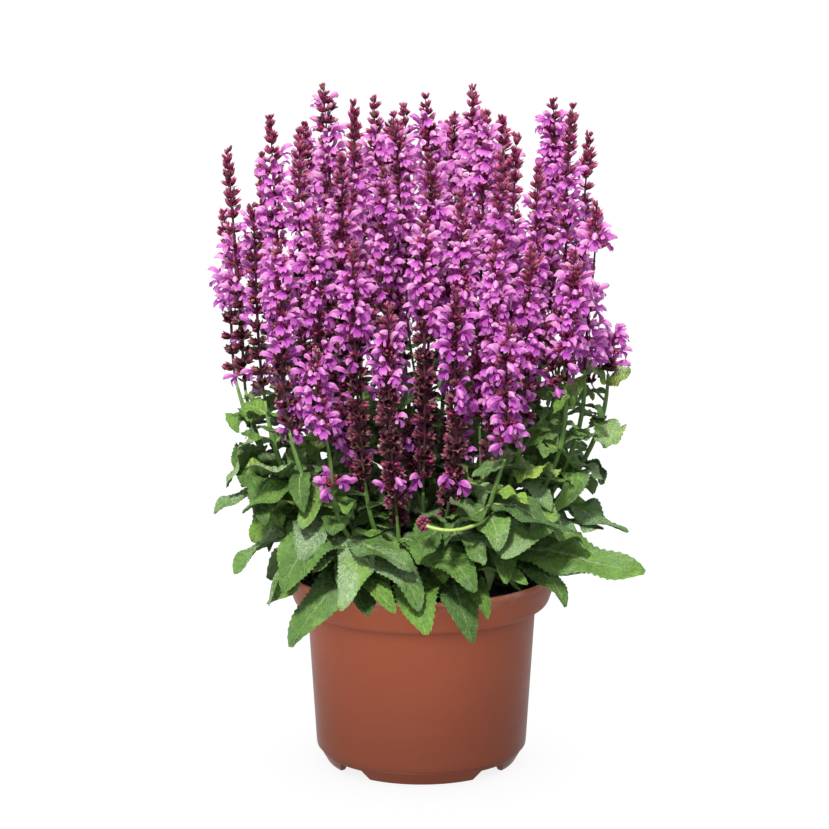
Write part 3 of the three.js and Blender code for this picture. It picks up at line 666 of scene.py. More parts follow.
make_piece("potting_soil_bed", soil_form(), peat(), "potting_soil", ["soil"])
print("the soil is", round(2 * soil_edge, 3), "m across, with", CRUMBS, "crumbs")

# %% [markdown]
# ## Stems
#
# A salvia's stem is square, with a shallow groove down each face and a slight knuckle where a
# pair of leaves grows. It rises from a short woody crown in the soil. A tube swept along the
# frame's own path keeps it inside its solid. The section is drawn with eight corners, so that
# the square has its four edges and hollow faces between them.

# %% Paths of the stems
CROWN_TOP = 0.005
CROWN_DEPTH = 0.014
CROWN_RADIUS = 0.0066
CROWN_TAPER = 0.002
GATHER_HEIGHT = 0.036
GATHER_SLACK = 0.12
STEM_SIDE = 0.0029
STEM_RADIUS = STEM_SIDE * math.sqrt(0.5)
STEM_ROOT_DEPTH = 0.004
OUTER_STEM_RADIUS = 0.084
LEAF_PAIR_HEIGHTS = (0.148, 0.176, 0.206, 0.238, 0.268, 0.292)


def crown_centre(clump):
    roots = [fan_point(s, SOIL_LEVEL) for s in shoots if s["clump"] == clump]
    return np.mean(roots, axis=0)


crowns = [crown_centre(clump) for clump in range(len(CLUMP_SIZES))]


def straight_stem_point(shoot, z):
    """The frame's stem at a height: gathered at its crown near the soil, free above."""
    free = fan_point(shoot, z)
    crown = crowns[shoot["clump"]]
    gathered_point = crown + GATHER_SLACK * (fan_point(shoot, SOIL_LEVEL) - crown)
    collar = SOIL_LEVEL + CROWN_TOP
    climb = smoothstep(z, collar, collar + GATHER_HEIGHT)
    middle = gathered_point + climb * (free - gathered_point)
    return np.array([middle[0], middle[1], z])


def stem_point(shoot, z):
    share = (z - SOIL_LEVEL) / (shoot["base"] - SOIL_LEVEL)
    return straight_stem_point(shoot, z) + sway(shoot, min(max(share, 0), 1))


print("crowns stand at", [tuple(np.round(c[:2], 3)) for c in crowns[:3]], "and so on")

# %% [markdown]
# ### Tubes along a path
#
# A curve with a bevel would also give a tube, but a salvia needs a square one that thins towards
# the flowers and swells at each pair of leaves. So every ring of points is set one by one: the same
# section each time, turned across the path, with its own radius.

# %% Stems and crowns as tubes
def frame_along(before, after):
    """Three directions for a section: two across a run, and the run itself."""
    along = (after - before) / np.linalg.norm(after - before)
    side = np.cross((0.0, 1.0, 0.0), along)
    side /= np.linalg.norm(side)
    return side, np.cross(along, side), along


def swept(path, radii, section, turn=0.0, **marks):
    """A closed tube along a path; section gives the share of the radius at each corner."""
    count = len(section)
    angles = turn + np.linspace(0, 2 * math.pi, count, endpoint=False)
    rings = []
    for i, (point, radius) in enumerate(zip(path, radii)):
        side, other, _ = frame_along(path[max(i - 1, 0)], path[min(i + 1, len(path) - 1)])
        rings.append([point + radius * share * (math.cos(a) * side + math.sin(a) * other)
                      for share, a in zip(section, angles)])
    points = np.array(rings).reshape(-1, 3)
    n, last = len(points), len(points) - count
    around = np.arange(count)
    following = (around + 1) % count
    start = np.stack([np.full(count, n), following, around], -1)
    end = np.stack([last + around, last + following, np.full(count, n + 1)], -1)
    points = np.concatenate([points, [path[0], path[-1]]])
    walls = grid_triangles(len(path), count, closed=True)
    spread_marks = {k: np.concatenate([np.repeat(v, count), [v[0], v[-1]]]) for k, v in marks.items()}
    return Form(points, np.concatenate([start, walls, end]), **spread_marks)


SQUARE = (1.0, 0.64, 1.0, 0.64, 1.0, 0.64, 1.0, 0.64)
TAPER = 0.025
RACHIS_RADIUS = 0.0013
SPIKE_GAP = 0.0003
STEM_SECTIONS = 22
KNUCKLE_HEIGHT = 0.0022
KNUCKLE_BULGE = 0.16
KNUCKLE_MARGIN = 0.01
FLUSH_REACH = 0.5
CROWN_INSET = 0.94
WRINKLE_DEPTH = 0.1


def stem_form(shoot):
    top = shoot["base"] - SPIKE_GAP
    heights = np.linspace(SOIL_LEVEL - STEM_ROOT_DEPTH, top, STEM_SECTIONS)
    pairs = [h for h in LEAF_PAIR_HEIGHTS if h < top - KNUCKLE_MARGIN]
    heights = np.sort(np.concatenate([heights, pairs]))
    knuckle = sum(np.exp(-((heights - h) / KNUCKLE_HEIGHT) ** 2) for h in LEAF_PAIR_HEIGHTS)
    radii = STEM_RADIUS * (1.0 + KNUCKLE_BULGE * knuckle)
    radii = radii + smoothstep(heights, top - TAPER, top) * (RACHIS_RADIUS - STEM_RADIUS)
    climb = FLUSH_REACH * (heights - SOIL_LEVEL) / (top - SOIL_LEVEL)
    return swept([stem_point(shoot, z) for z in heights], radii, SQUARE, math.pi / 4, climb=climb)


def crown_form(clump):
    """The woody foot of a clump: a short tapered peg with a wrinkled skin."""
    heights = np.array([-CROWN_DEPTH, -0.006, 0.0, 0.002, 0.004, CROWN_TOP])
    radii = (CROWN_RADIUS - CROWN_TAPER * smoothstep(heights, -CROWN_DEPTH, CROWN_TOP)) * CROWN_INSET
    wrinkles = 1 - WRINKLE_DEPTH * (np.arange(16) % 2)
    path = [crowns[clump] + np.array([0, 0, h]) for h in heights]
    return swept(path, radii, wrinkles, climb=np.full(len(heights), -0.2))


print("one stem has", len(stem_form(shoots[0]).triangles), "triangles")

# %% [markdown]
# ### Finish of the stems
#
# The colour follows the climb from the soil: brown on the woody crown, then fresh green, with
# no more than a hint of the purple flush that the last stops of the ramp hold. A noise shifts
# these borders so that no two stems change at the same height, and fine lengthwise streaks
# stand for the ribs of the skin.

# %% Stem skin
def stem_skin():
    recipe = Recipe("stem_skin")
    flush = recipe.maths("MULTIPLY_ADD", recipe.noise(40, 2), 0.25, recipe.mark("climb"))
    colour = recipe.ramp(flush, [
        (0.02, (0.11, 0.07, 0.035)), (0.12, (0.13, 0.24, 0.045)), (0.55, (0.16, 0.30, 0.07)),
        (0.8, (0.13, 0.16, 0.05)), (1.0, (0.1, 0.03, 0.05)),
    ])
    streaks = recipe.noise(1400, 2, recipe.place((1, 1, 0.05)))
    darker = recipe.mix(recipe.band(streaks, 0.4, 0.7, 0.0, 0.35), colour, (0.05, 0.09, 0.02))
    recipe.feed(recipe.shader.inputs["Base Color"], darker)
    recipe.shader.inputs["Roughness"].default_value = 0.55
    recipe.bump(streaks, 0.4, 0.0003)
    return recipe.material


stem_material = stem_skin()
for clump in range(len(CLUMP_SIZES)):
    members = [shoot for shoot in shoots if shoot["clump"] == clump]
    forms = [crown_form(clump)] + [stem_form(shoot) for shoot in members]
    number = two_digits(clump + 1)
    node = ["leafy_stems_" + number]
    make_piece("stems_" + number, gathered(forms), stem_material, "green_leaf", node)
print("stems made for", len(CLUMP_SIZES), "clumps")

# %% [markdown]
# ## Leaves: where they grow
#
# The frame already decided which leaves there are. The large ones in front are listed one by
# one, because they give the plant its face. All the others follow a rule: opposite pairs at set
# heights on the outer shoots, of which many have been shed. Both lists are repeated here with the
# same numbers, so that fine blades can take the place of the frame's plain ones.

# %% The list of leaves
# each: the shoot's number, the root's height, the tip, the width and the arch, in millimetres
LARGE_LEAVES = [
    (8, 178, (-53, -125, 143), 23, 12), (8, 174, (-4, -113, 168), 28, 10),
    (8, 150, (-16, -114, 141), 22, 12), (5, 146, (-88, -112, 113), 32, 22),
    (5, 150, (-108, -62, 134), 22, 12), (4, 168, (-125, -74, 152), 25, 14),
    (1, 182, (-137, -48, 186), 20, 10), (1, 236, (-131, -40, 200), 22, 9),
    (1, 240, (-92, -38, 262), 19, 6), (4, 205, (-74, -98, 228), 24, 8),
    (5, 190, (-61, -106, 172), 24, 9), (5, 166, (-72, -100, 160), 26, 10),
    (13, 178, (-38, -84, 184), 16, 6), (14, 150, (2, -120, 126), 32, 16),
    (14, 184, (-5, -122, 178), 25, 6), (14, 190, (26, -128, 170), 20, 6),
    (18, 196, (24, -96, 234), 20, 5), (18, 198, (50, -130, 186), 22, 8),
    (19, 190, (88, -96, 190), 28, 9), (21, 192, (52, -120, 168), 28, 12),
    (21, 178, (113, -52, 163), 26, 9), (21, 160, (145, -56, 137), 38, 16),
    (21, 146, (97, -92, 134), 24, 16), (19, 146, (72, -104, 152), 20, 12),
    (18, 148, (40, -124, 132), 14, 12), (18, 140, (36, -116, 112), 30, 24),
    (21, 216, (66, -98, 228), 26, 7), (25, 264, (145, -10, 274), 14, 4),
    (25, 264, (103, -26, 286), 14, 4), (25, 238, (121, -42, 227), 22, 7),
]
# each: height, length and drop of a pair in millimetres, and its angle from straight outward
LEAF_PAIRS = (
    (148, 64, 30, 0.9), (176, 60, 25, 1.5), (206, 48, 18, 0.9), (238, 38, 8, 1.5),
)
LEAF_SHED = 0.62
LEAF_ASPECT = 0.46
LEAF_ARCH = 0.34
PAIR_SWING = 0.7
PAIR_SIZE_RANGE = 0.3
PAIR_SINK_RANGE = 14
PAIR_MARGIN = 6
LEAF_SEED = 20
print(len(LARGE_LEAVES), "large leaves are listed, and pairs at", len(LEAF_PAIRS), "heights")

# %% [markdown]
# ### Finding each leaf on its solid
#
# A leaf that would have run through its neighbour was turned or lifted in the frame, or left out.
# Which of these happened isn't written down, but the tip of each plain leaf is a corner of its
# clump's solid. So every turn is tried here in the frame's order, and the first whose tip lies on
# such a corner is the one that was kept. A search tree finds the nearest corner quickly.

# %% Find the leaves of the frame
LEAF_TURNS = (0, 20, -20, 40, -40, 60, -60)
LEAF_LIFTS = (0, 10, -10)
OUTER_STEPS = 4
INNER_STEPS = 2
TIP_TOLERANCE = 0.2 * MM


def draws_from(seed):
    """The same plain sequence of numbers between 0 and 1 that placed the frame's leaves."""
    state = seed
    while True:
        state = (state * 1664525 + 1013904223) % 2 ** 32
        yield state / 2 ** 32


def is_outer(shoot):
    return math.hypot(*shoot["tip"][:2]) > OUTER_STEM_RADIUS


def stem_top(shoot):
    slope = np.linalg.norm(fan_point(shoot, shoot["base"]) - fan_point(shoot, shoot["base"] - MM)) / MM
    return shoot["base"] - SPIKE_GAP - STEM_RADIUS * math.sqrt(slope ** 2 - 1)


def point_on_frame_stem(shoot, z):
    """The frame's stem is straight between a few joints; a leaf's root lies on that line."""
    steps = OUTER_STEPS if is_outer(shoot) else INNER_STEPS
    root, top = SOIL_LEVEL - STEM_ROOT_DEPTH, stem_top(shoot)
    joints = [root + (top - root) * (k / steps) ** 1.5 for k in range(steps + 1)]
    step = min(max(np.searchsorted(joints, z), 1), steps)
    low, high = joints[step - 1], joints[step]
    share = (z - low) / (high - low)
    return (1 - share) * straight_stem_point(shoot, low) + share * straight_stem_point(shoot, high)


def leaf(shoot, height, run_to, width, arch):
    root = point_on_frame_stem(shoot, height)
    tip = run_to(root)
    return {"shoot": shoot, "height": height, "root": root, "tip": tip, "width": width, "arch": arch}


def paired_leaves():
    draw = draws_from(LEAF_SEED)
    for shoot in shoots:
        outward = math.atan2(shoot["tip"][1], shoot["tip"][0])
        for height, length, drop, pair_spread in LEAF_PAIRS:
            for side in (-1, 1):
                swing, size, sink, shed = (next(draw) for _ in range(4))
                hidden = height * MM > shoot["base"] - PAIR_MARGIN * MM
                if shed < LEAF_SHED or not is_outer(shoot) or hidden:
                    continue
                azimuth = outward + side * pair_spread + PAIR_SWING * (swing - 0.5)
                reach = length * (1 + PAIR_SIZE_RANGE * (size - 0.5)) * MM
                down = (drop + PAIR_SINK_RANGE * (sink - 0.5)) * MM
                run = np.array([reach * math.cos(azimuth), reach * math.sin(azimuth), -down])
                width, arch = reach * LEAF_ASPECT, reach * LEAF_ARCH
                yield leaf(shoot, height * MM, lambda root: root + run, width, arch)


def turned_about_root(item, degrees, lift):
    cos, sin = math.cos(math.radians(degrees)), math.sin(math.radians(degrees))
    x, y, z = item["tip"] - item["root"]
    run = np.array([x * cos - y * sin, x * sin + y * cos, z])
    return item["root"] + run + np.array([0, 0, lift * MM])


def corner_finder(name):
    points = node_points(name)
    tree = KDTree(len(points))
    for i, point in enumerate(points):
        tree.insert(point, i)
    tree.balance()
    return tree


finders = [corner_finder("leafy_stems_" + two_digits(k + 1)) for k in range(len(CLUMP_SIZES))]
listed = [
    leaf(shoots[number - 1], root * MM, lambda _, tip=tip: np.array(tip) * MM, width * MM, arch * MM)
    for number, root, tip, width, arch in LARGE_LEAVES
] + list(paired_leaves())
leaves = []
for item in listed:
    tries = [turned_about_root(item, degrees, lift) for lift in LEAF_LIFTS for degrees in LEAF_TURNS]
    finder = finders[item["shoot"]["clump"]]
    found = [tip for tip in tries if finder.find(tip)[2] < TIP_TOLERANCE]
    if found:
        leaves.append({**item, "tip": found[0]})
print(len(leaves), "of", len(listed), "listed leaves grow on the frame's stems")

# %% [markdown]
# ## Leaves: their form
#
# A salvia leaf is a long oval on a short stalk. Its edge is cut into round teeth, its face is
# puckered like crepe between a net of sunken veins, and the midrib stands out pale below. One
# could paint all that on a flat card, but the edge and the puckers catch the light, so they are
# real: a grid of points is bent along the midrib's arc, folded along it, waved at the edge, and
# sunk where the side veins run. The finest net is left to the material's bump.

# %% Outline and relief of a blade
LEAF_FOLD = math.radians(13)
SIDE_VEINS = 9
VEIN_SLANT = 0.22
VEIN_DEPTH = 0.0010
GROOVE_DEPTH = 0.0006
GROOVE_SHARE = 0.12
CREPE_DEPTH = 0.0007


def half_width(u, width):
    """Broad and rounded near the stem, then tapering to a blunt point."""
    return 0.53 * width * np.sin(np.pi * np.clip(u, 0, 1) ** 0.68) ** 0.55


def bezier(root, tip, arch, t):
    """Point and direction along a leaf's midrib, which leaves the stem rising and then droops."""
    middle = (root + tip) / 2 + np.array([0, 0, arch])
    t = t[:, None]
    point = (1 - t) ** 2 * root + 2 * t * (1 - t) * middle + t ** 2 * tip
    way = 2 * (1 - t) * (middle - root) + 2 * t * (tip - middle)
    return point, way / np.linalg.norm(way, axis=1)[:, None]


def vein_pattern(u, v):
    """How near each point of the blade lies to one of its slanted side veins, from 0 to 1."""
    phase = (u - VEIN_SLANT * np.abs(v)) * SIDE_VEINS
    return 0.5 + 0.5 * np.cos(2 * np.pi * phase)


def edge_wave(u, v, draw):
    """The two edges rise and fall on their own, as the blade has grown faster than its midrib."""
    left, right = draw.random(2)
    phase = draw.uniform(1.1, 2.3) * u + np.where(v < 0, left, right)
    return draw.uniform(0.1, 0.24) * np.sin(2 * np.pi * phase) * v ** 2 * np.sin(np.pi * u) ** 0.5


def blade_height(u, v, width, draw):
    """How far each point of the blade stands above the plane of its midrib."""
    aside = np.abs(v)
    lengthwise = np.sin(np.pi * u)
    fold = 0.5 * width * aside * math.sin(LEAF_FOLD) * (1 - 0.6 * aside) * lengthwise ** 0.4
    pucker = VEIN_DEPTH * (1 - 2 * vein_pattern(u, v)) * np.sin(np.pi * aside) * lengthwise ** 0.5
    groove = -GROOVE_DEPTH * np.exp(-(v / GROOVE_SHARE) ** 2) * (1 - u)
    curl = width * draw.normal(-0.05, 0.32) * np.clip((u - 0.55) / 0.45, 0, 1) ** 2
    along_ripple = np.sin(u * 47 + 3 * np.sin(v * 5))
    across_ripple = np.sin(v * 19 + 2 * np.sin(u * 23))
    crepe = CREPE_DEPTH * along_ripple * across_ripple * (1 - v ** 4)
    return fold + pucker + groove + curl + crepe + width * edge_wave(u, v, draw)


print("halfway along, a leaf 20 mm wide spans", round(2000 * float(half_width(0.5, 0.02)), 1), "mm")

# %% [markdown]
# ### One blade, with its stalk
#
# A single sheet would look the same from above, but the under side of a salvia leaf is paler, and
# its blade has some thickness. So each blade has an upper and a lower skin that meet at the rim,
# with a mark that tells them apart. No two leaves hang alike, so each is bent aside, tilted and
# twisted by its own random draws.

# %% One leaf blade
STALK_SHARE = 0.05
TOOTH_DEPTH = 0.055
BLADE_THICKNESS = 0.0005
SIDE_BEND = 0.09
TILT = 0.22
TWIST = 0.5
TWIST_LIMIT = 0.9
STALK_RADII = (0.0014, 0.0011, 0.0009, 0.0007, 0.0003)
STALK_SECTION = (1, 1, 0.9, 0.8, 0.9, 1)
STALK_DROP = 0.0007
KEEL_SHARE = 0.3
FULL_STALK_WIDTH = 0.018
LARGE_WIDTH = 0.0175
LARGE_GRID = (42, 11)
MEDIUM_GRID = (28, 7)
SMALL_GRID = (14, 5)


def blade_form(item, draw, grid, tone, hoar):
    """The upper and lower skin of one blade, joined round its edge, and its stalk."""
    rows, columns = grid
    width, tip = item["width"], item["tip"] + draw.normal(0, item.get("stray", 0), 3)
    root = stem_point(item["shoot"], item["height"])
    run = tip - root
    u, v = np.meshgrid(np.linspace(0, 1, rows), np.linspace(-1, 1, columns), indexing="ij")
    share = u[:, 0]
    point, along = bezier(root, tip, item["arch"], STALK_SHARE + (1 - STALK_SHARE) * share)
    across = np.array([-run[1], run[0], 0]) / math.hypot(run[0], run[1])
    bend = draw.normal(0, SIDE_BEND) * np.linalg.norm(run)
    point = point + bend * np.sin(np.pi * share)[:, None] * across
    up = np.cross(along, across)
    tilt = draw.normal(0, TILT)
    turn = np.clip(draw.normal(0, TWIST), -TWIST_LIMIT, TWIST_LIMIT)
    twist = tilt + turn * share[:, None] ** 1.3
    twist = twist * item.get("unrest", 1.0) + item.get("roll", 0.0)
    side = np.cos(twist) * across + np.sin(twist) * up
    lift = np.cos(twist) * up - np.sin(twist) * across
    tooth = TOOTH_DEPTH * (np.arange(rows) % 2 * 2 - 1) * np.clip(share * 8, 0, 1)
    edge = np.abs(v) ** 6
    reach = half_width(np.clip(share, 0.02, 0.992), width)
    spread_out = reach[:, None] * v * (1 + tooth[:, None] * edge)
    height = blade_height(u, v, width, draw)
    skin = point[:, None] + spread_out[..., None] * side[:, None] + height[..., None] * lift[:, None]
    below = skin - BLADE_THICKNESS * lift[:, None] * (1 - edge[..., None])
    below[-1] = skin[-1]
    faces = grid_triangles(rows, columns)
    marks = {"along": u.ravel(), "across": v.ravel(), "tone": tone, "hoar": hoar}
    upper = Form(skin.reshape(-1, 3), faces, under=0.0, **marks)
    lower = Form(below.reshape(-1, 3), faces[:, ::-1], under=1.0, **marks)
    return [upper, lower, stalk_form(item, root, tone)]


def stalk_form(item, root, tone):
    """The stalk runs on under the blade as a keel that fades out."""
    steps = np.linspace(0, KEEL_SHARE, len(STALK_RADII))
    point, _ = bezier(root, item["tip"], item["arch"], steps)
    radii = np.array(STALK_RADII) * min(1.0, item["width"] / FULL_STALK_WIDTH)
    stalk = swept(point - np.array([0, 0, STALK_DROP]), radii, STALK_SECTION)
    zero = np.zeros(len(stalk.points))
    return Form(stalk.points, stalk.triangles, along=zero, across=zero, tone=zero + tone, under=zero)


sample = blade_form(leaves[0], np.random.default_rng(0), LARGE_GRID, 0.5, 0.5)
print("a large leaf takes", sum(len(form.triangles) for form in sample), "triangles")

# %% [markdown]
# ### Finish of the leaves
#
# Seen close, a salvia leaf is dull mid green with a paler net, because the veins and the hairs on
# them are lighter than the cells between. Old leaves are darker and young ones yellow-green, which
# the tone mark tells. The same mark also holds painted shade: leaves inside the plant are painted
# darker, and each leaf in front has painted light and shade of its own. Leaves also differ in how
# hoary they are: hairs grow in patches, and grey the green and whiten the net there as much as the
# hoar mark says. The veins are drawn from the marks along and across the blade, and the net is a
# cell texture that, with the veins, also drives the bump.

# %% Leaf skin
VEIN_COLOUR = (0.48, 0.6, 0.3)
MIDRIB_COLOUR = (0.5, 0.58, 0.28)
NET_COLOUR = (0.56, 0.69, 0.45)
HOARY_COLOUR = (0.23, 0.385, 0.21)
UNDERSIDE_COLOUR = (0.27, 0.38, 0.2)
BACKLIT_LEAF_COLOUR = (0.34, 0.53, 0.05)
LEAF_TRANSLUCENCY = 0.22


def leaf_skin():
    recipe = Recipe("leaf_skin")
    along, across, tone = recipe.mark("along"), recipe.mark("across"), recipe.mark("tone")
    aside = recipe.maths("ABSOLUTE", across)
    phase = recipe.maths("MULTIPLY", recipe.maths("MULTIPLY_ADD", aside, -VEIN_SLANT, along), SIDE_VEINS)
    saw = recipe.maths("PINGPONG", phase, 0.5)
    side_vein = recipe.band(saw, 0.0, 0.09, 1.0, 0.0)
    midrib = recipe.band(aside, 0.015, 0.075, 1.0, 0.0)
    wobble = recipe.node("ShaderNodeTexNoise", Scale=900.0, Vector=recipe.place())
    bent = recipe.node("ShaderNodeVectorMath")
    bent.operation = "MULTIPLY_ADD"
    for socket, value in zip(bent.inputs, (wobble.outputs["Color"], (0.0012,) * 3, recipe.place())):
        recipe.feed(socket, value)
    cells = recipe.node("ShaderNodeTexVoronoi", Vector=bent.outputs["Vector"], Scale=780.0)
    cells.feature = "DISTANCE_TO_EDGE"
    net = recipe.band(cells.outputs["Distance"], 0.0, 0.26, 1.0, 0.0)
    mottle = recipe.maths("ADD", recipe.noise(55, 4), recipe.noise(220, 3))
    shade = recipe.maths("MULTIPLY_ADD", recipe.maths("SUBTRACT", mottle, 1.0), 0.55, tone)
    green = recipe.ramp(shade, [
        (0.0, (0.038, 0.098, 0.02)), (0.3, (0.092, 0.208, 0.032)), (0.6, (0.175, 0.36, 0.044)),
        (0.85, (0.28, 0.48, 0.058)), (1.0, (0.47, 0.63, 0.08)),
    ])
    patches = recipe.band(recipe.noise(42, 2), 0.4, 0.62, 0.2, 1.2)
    hoar = recipe.maths("MULTIPLY", recipe.mark("hoar"), patches)
    hoary = recipe.mix(recipe.maths("MULTIPLY", hoar, 0.5), green, HOARY_COLOUR)
    net_share = recipe.maths("MULTIPLY", net, recipe.band(hoar, 0.0, 1.0, 0.08, 0.74))
    netted = recipe.mix(net_share, hoary, NET_COLOUR)
    veined = recipe.mix(recipe.maths("MULTIPLY", side_vein, 0.28), netted, VEIN_COLOUR)
    rib_share = recipe.maths("MULTIPLY", midrib, recipe.band(along, 0.2, 1.0, 0.8, 0.2))
    ribbed = recipe.mix(rib_share, veined, MIDRIB_COLOUR)
    paler = recipe.mix(recipe.maths("MULTIPLY", recipe.mark("under"), 0.4), ribbed, UNDERSIDE_COLOUR)
    recipe.feed(recipe.shader.inputs["Base Color"], paler)
    recipe.shader.inputs["Roughness"].default_value = 0.48
    recipe.shader.inputs["Specular IOR Level"].default_value = 0.27
    sunk_net = recipe.maths("MULTIPLY", net, -0.5)
    sunk = recipe.maths("ADD", sunk_net, recipe.maths("MULTIPLY", side_vein, -0.8))
    blistered = recipe.maths("MULTIPLY_ADD", recipe.noise(330, 2), 2.4, sunk)
    normal = recipe.bump(blistered, 0.85, 0.0009)
    backlit = recipe.mix(0.5, paler, BACKLIT_LEAF_COLOUR)
    recipe.let_light_through(backlit, LEAF_TRANSLUCENCY, normal)
    return recipe.material


leaf_material = leaf_skin()
print("the leaf skin is made with", len(leaf_material.node_tree.nodes), "nodes")

# %% [markdown]
# ### The leaves of the frame, one by one
#
# The leaves in front are what one looks at first, so each has its own tone, from dark at 0 to
# light at 1, and its own hoariness, and it strays and twists less than the others. The tone is
# partly the leaf's age, dark when old and light when young, and partly painted light and shade:
# leaves that stand in shade are painted lighter, and some that face the sun are painted darker.
# A few are rolled to one side, so that they show an edge. Some of the paired leaves would hang
# out past the plant or hide the spikes, and those are lowered or drawn back towards their roots.

# %% Shape the leaves of the frame
# tone, partly painted light and shade, and hoariness of each leaf in front, in the order of the list
LEAF_LOOKS_WITH_PAINTED_LIGHT = (
    (0.68, 1.0), (0.28, 0.35), (0.56, 0.05), (0.34, 0.3), (0.52, 0.7), (0.48, 0.9),
    (0.5, 0.9), (0.78, 1.0), (0.8, 0.4), (0.8, 0.7), (0.28, 0.9), (0.48, 0.6),
    (0.55, 0.6), (0.55, 0.1), (0.3, 0.05), (0.42, 0.55), (0.8, 0.8), (0.6, 0.4),
    (0.7, 0.45), (0.52, 0.55), (0.5, 0.7), (0.5, 0.3), (0.28, 0.05), (0.55, 0.1),
    (0.42, 0.0), (0.2, 0.0), (0.88, 0.4), (1.0, 0.9), (1.0, 1.0), (0.78, 0.5),
)
# by the leaf's place in the list: the share of its length that is kept
DRAWN_BACK = {
    31: 0.6, 32: 0.55, 35: 0.6, 37: 0.75, 38: 0.7, 43: 0.74, 44: 0.9, 45: 0.84,
    51: 0.65, 53: 0.85, 54: 0.65, 56: 0.6, 59: 0.6, 61: 0.5, 62: 0.6,
}
# how far its arch is lowered, in metres, and how far it is rolled, in degrees
LOWERED_ARCHES = {45: 0.008, 48: 0.018}
LEAF_ROLLS = {7: 45, 21: 30, 27: 50, 28: -50}
COMMON_TONES = (2.2, 2.8)
COMMON_HOAR = (1.0, 1.6)
COMMON_STRAY = 0.0035
FRONT_STRAY = 0.0015
FRONT_UNREST = 0.3

draw = np.random.default_rng(11)
leaf_forms = {clump: [] for clump in range(len(CLUMP_SIZES))}
for k, item in enumerate(leaves):
    grid = LARGE_GRID if item["width"] > LARGE_WIDTH else MEDIUM_GRID
    tone, hoar = draw.beta(*COMMON_TONES), draw.beta(*COMMON_HOAR)
    item["stray"] = COMMON_STRAY
    item["arch"] -= LOWERED_ARCHES.get(k, 0)
    item["tip"] = item["root"] + DRAWN_BACK.get(k, 1) * (item["tip"] - item["root"])
    if k < len(LEAF_LOOKS_WITH_PAINTED_LIGHT):
        tone, hoar = LEAF_LOOKS_WITH_PAINTED_LIGHT[k]
        item["stray"] = FRONT_STRAY
        item["unrest"] = FRONT_UNREST
        item["roll"] = math.radians(LEAF_ROLLS.get(k, 0))
    leaf_forms[item["shoot"]["clump"]] += blade_form(item, draw, grid, tone, hoar)
print("leaves shaped on", len(leaf_forms), "clumps")

# %% [markdown]
# ## Small leaves between the large ones
#
# Above and between the leaves of the frame a real shoot carries many small ones: pairs under the
# flowers and young tufts in the axils. They fill the green heart of the plant, where one would
# otherwise look through bare stems. They are set by rule in opposite pairs, each pair a quarter
# turn from the last, and get smaller upwards.

# %% Small leaf pairs and axil tufts
SMALL_LEAF_STEP = 0.020
LOW_LEAF_LENGTH = 0.038
TOP_LEAF_LENGTH = 0.023
EDGE_OF_PLANT = 0.125
OUTER_LOW_LEAF = 0.150
INNER_LOW_LEAF = 0.142
SMALL_LEAF_ARCH = 0.24
OUTER_TONES = (2.3, 2.8)
# painted shade: leaves on the inner shoots stand in the plant's shade, so their tones are drawn darker
INNER_SHADED_TONES = (1.6, 4.0)
SMALL_LEAF_HOAR = (1.0, 2.0)


def small_leaves(shoot, draw):
    low = OUTER_LOW_LEAF if is_outer(shoot) else INNER_LOW_LEAF
    heights = np.arange(low + draw.uniform(0, 0.01), shoot["base"] - 0.003, SMALL_LEAF_STEP)
    first = draw.uniform(0, math.pi)
    for k, height in enumerate(heights):
        share = (height - low) / max(shoot["base"] - low, 0.05)
        length = LOW_LEAF_LENGTH + share * (TOP_LEAF_LENGTH - LOW_LEAF_LENGTH)
        for side in (0, math.pi):
            azimuth = first + side + k * math.pi / 2 + draw.normal(0, 0.25)
            size = length * draw.uniform(0.75, 1.3)
            rise = size * draw.uniform(-0.55, 0.4)
            run = np.array([size * math.cos(azimuth), size * math.sin(azimuth), rise])
            form = draw.uniform(0.4, 0.56)
            item = leaf(shoot, height, lambda root: root + run, size * form, size * SMALL_LEAF_ARCH)
            if abs(item["tip"][0]) < EDGE_OF_PLANT and abs(item["tip"][1]) < EDGE_OF_PLANT:
                yield item


small_count = 0
for shoot in shoots:
    for item in small_leaves(shoot, draw):
        tone = draw.beta(*(OUTER_TONES if is_outer(shoot) else INNER_SHADED_TONES))
        hoar = draw.beta(*SMALL_LEAF_HOAR)
        leaf_forms[shoot["clump"]] += blade_form(item, draw, SMALL_GRID, tone, hoar)
        small_count += 1
for clump, forms in leaf_forms.items():
    number = two_digits(clump + 1)
    node = ["leafy_stems_" + number]
    make_piece("leaves_" + number, gathered(forms), leaf_material, "green_leaf", node)
print(len(leaves), "leaves of the frame and", small_count, "small leaves")

# %% [markdown]
# ## A floret and its calyx
#
# Each flower has two parts. The calyx is a ribbed bell of fused sepals with pointed teeth.
# The corolla comes out of it as a narrow tube and splits into two lips: a hooded upper one,
# arched like a parrot's beak, and a lower one with two side lobes and a broad notched tongue.
# Each lip is a grid laid along its own centre line. The hood's sides curl down round the line,
# and the tongue lies open, so fewer than a hundred triangles give the true silhouette. Ten kinds
# are made, which differ in how far they gape, how the hood bends and how the tongue is ruffled.

# %% Corolla
def strip(line, halves, curls, columns, curl_angle):
    """A petal laid along a line in the x-z plane, whose sides curl away from it."""
    line = np.array(line, float)
    way = np.gradient(line, axis=0)
    way /= np.linalg.norm(way, axis=1)[:, None]
    outward = np.stack([-way[:, 1], way[:, 0]], -1)
    angle = np.linspace(-curl_angle, curl_angle, columns)
    y = np.array(halves)[:, None] * np.sin(angle) / math.sin(min(curl_angle, math.pi / 2))
    dip = np.array(curls)[:, None] * (1 - np.cos(angle))
    x = line[:, :1] - outward[:, :1] * dip
    z = line[:, 1:] - outward[:, 1:] * dip
    return np.stack([x, y, z], -1)


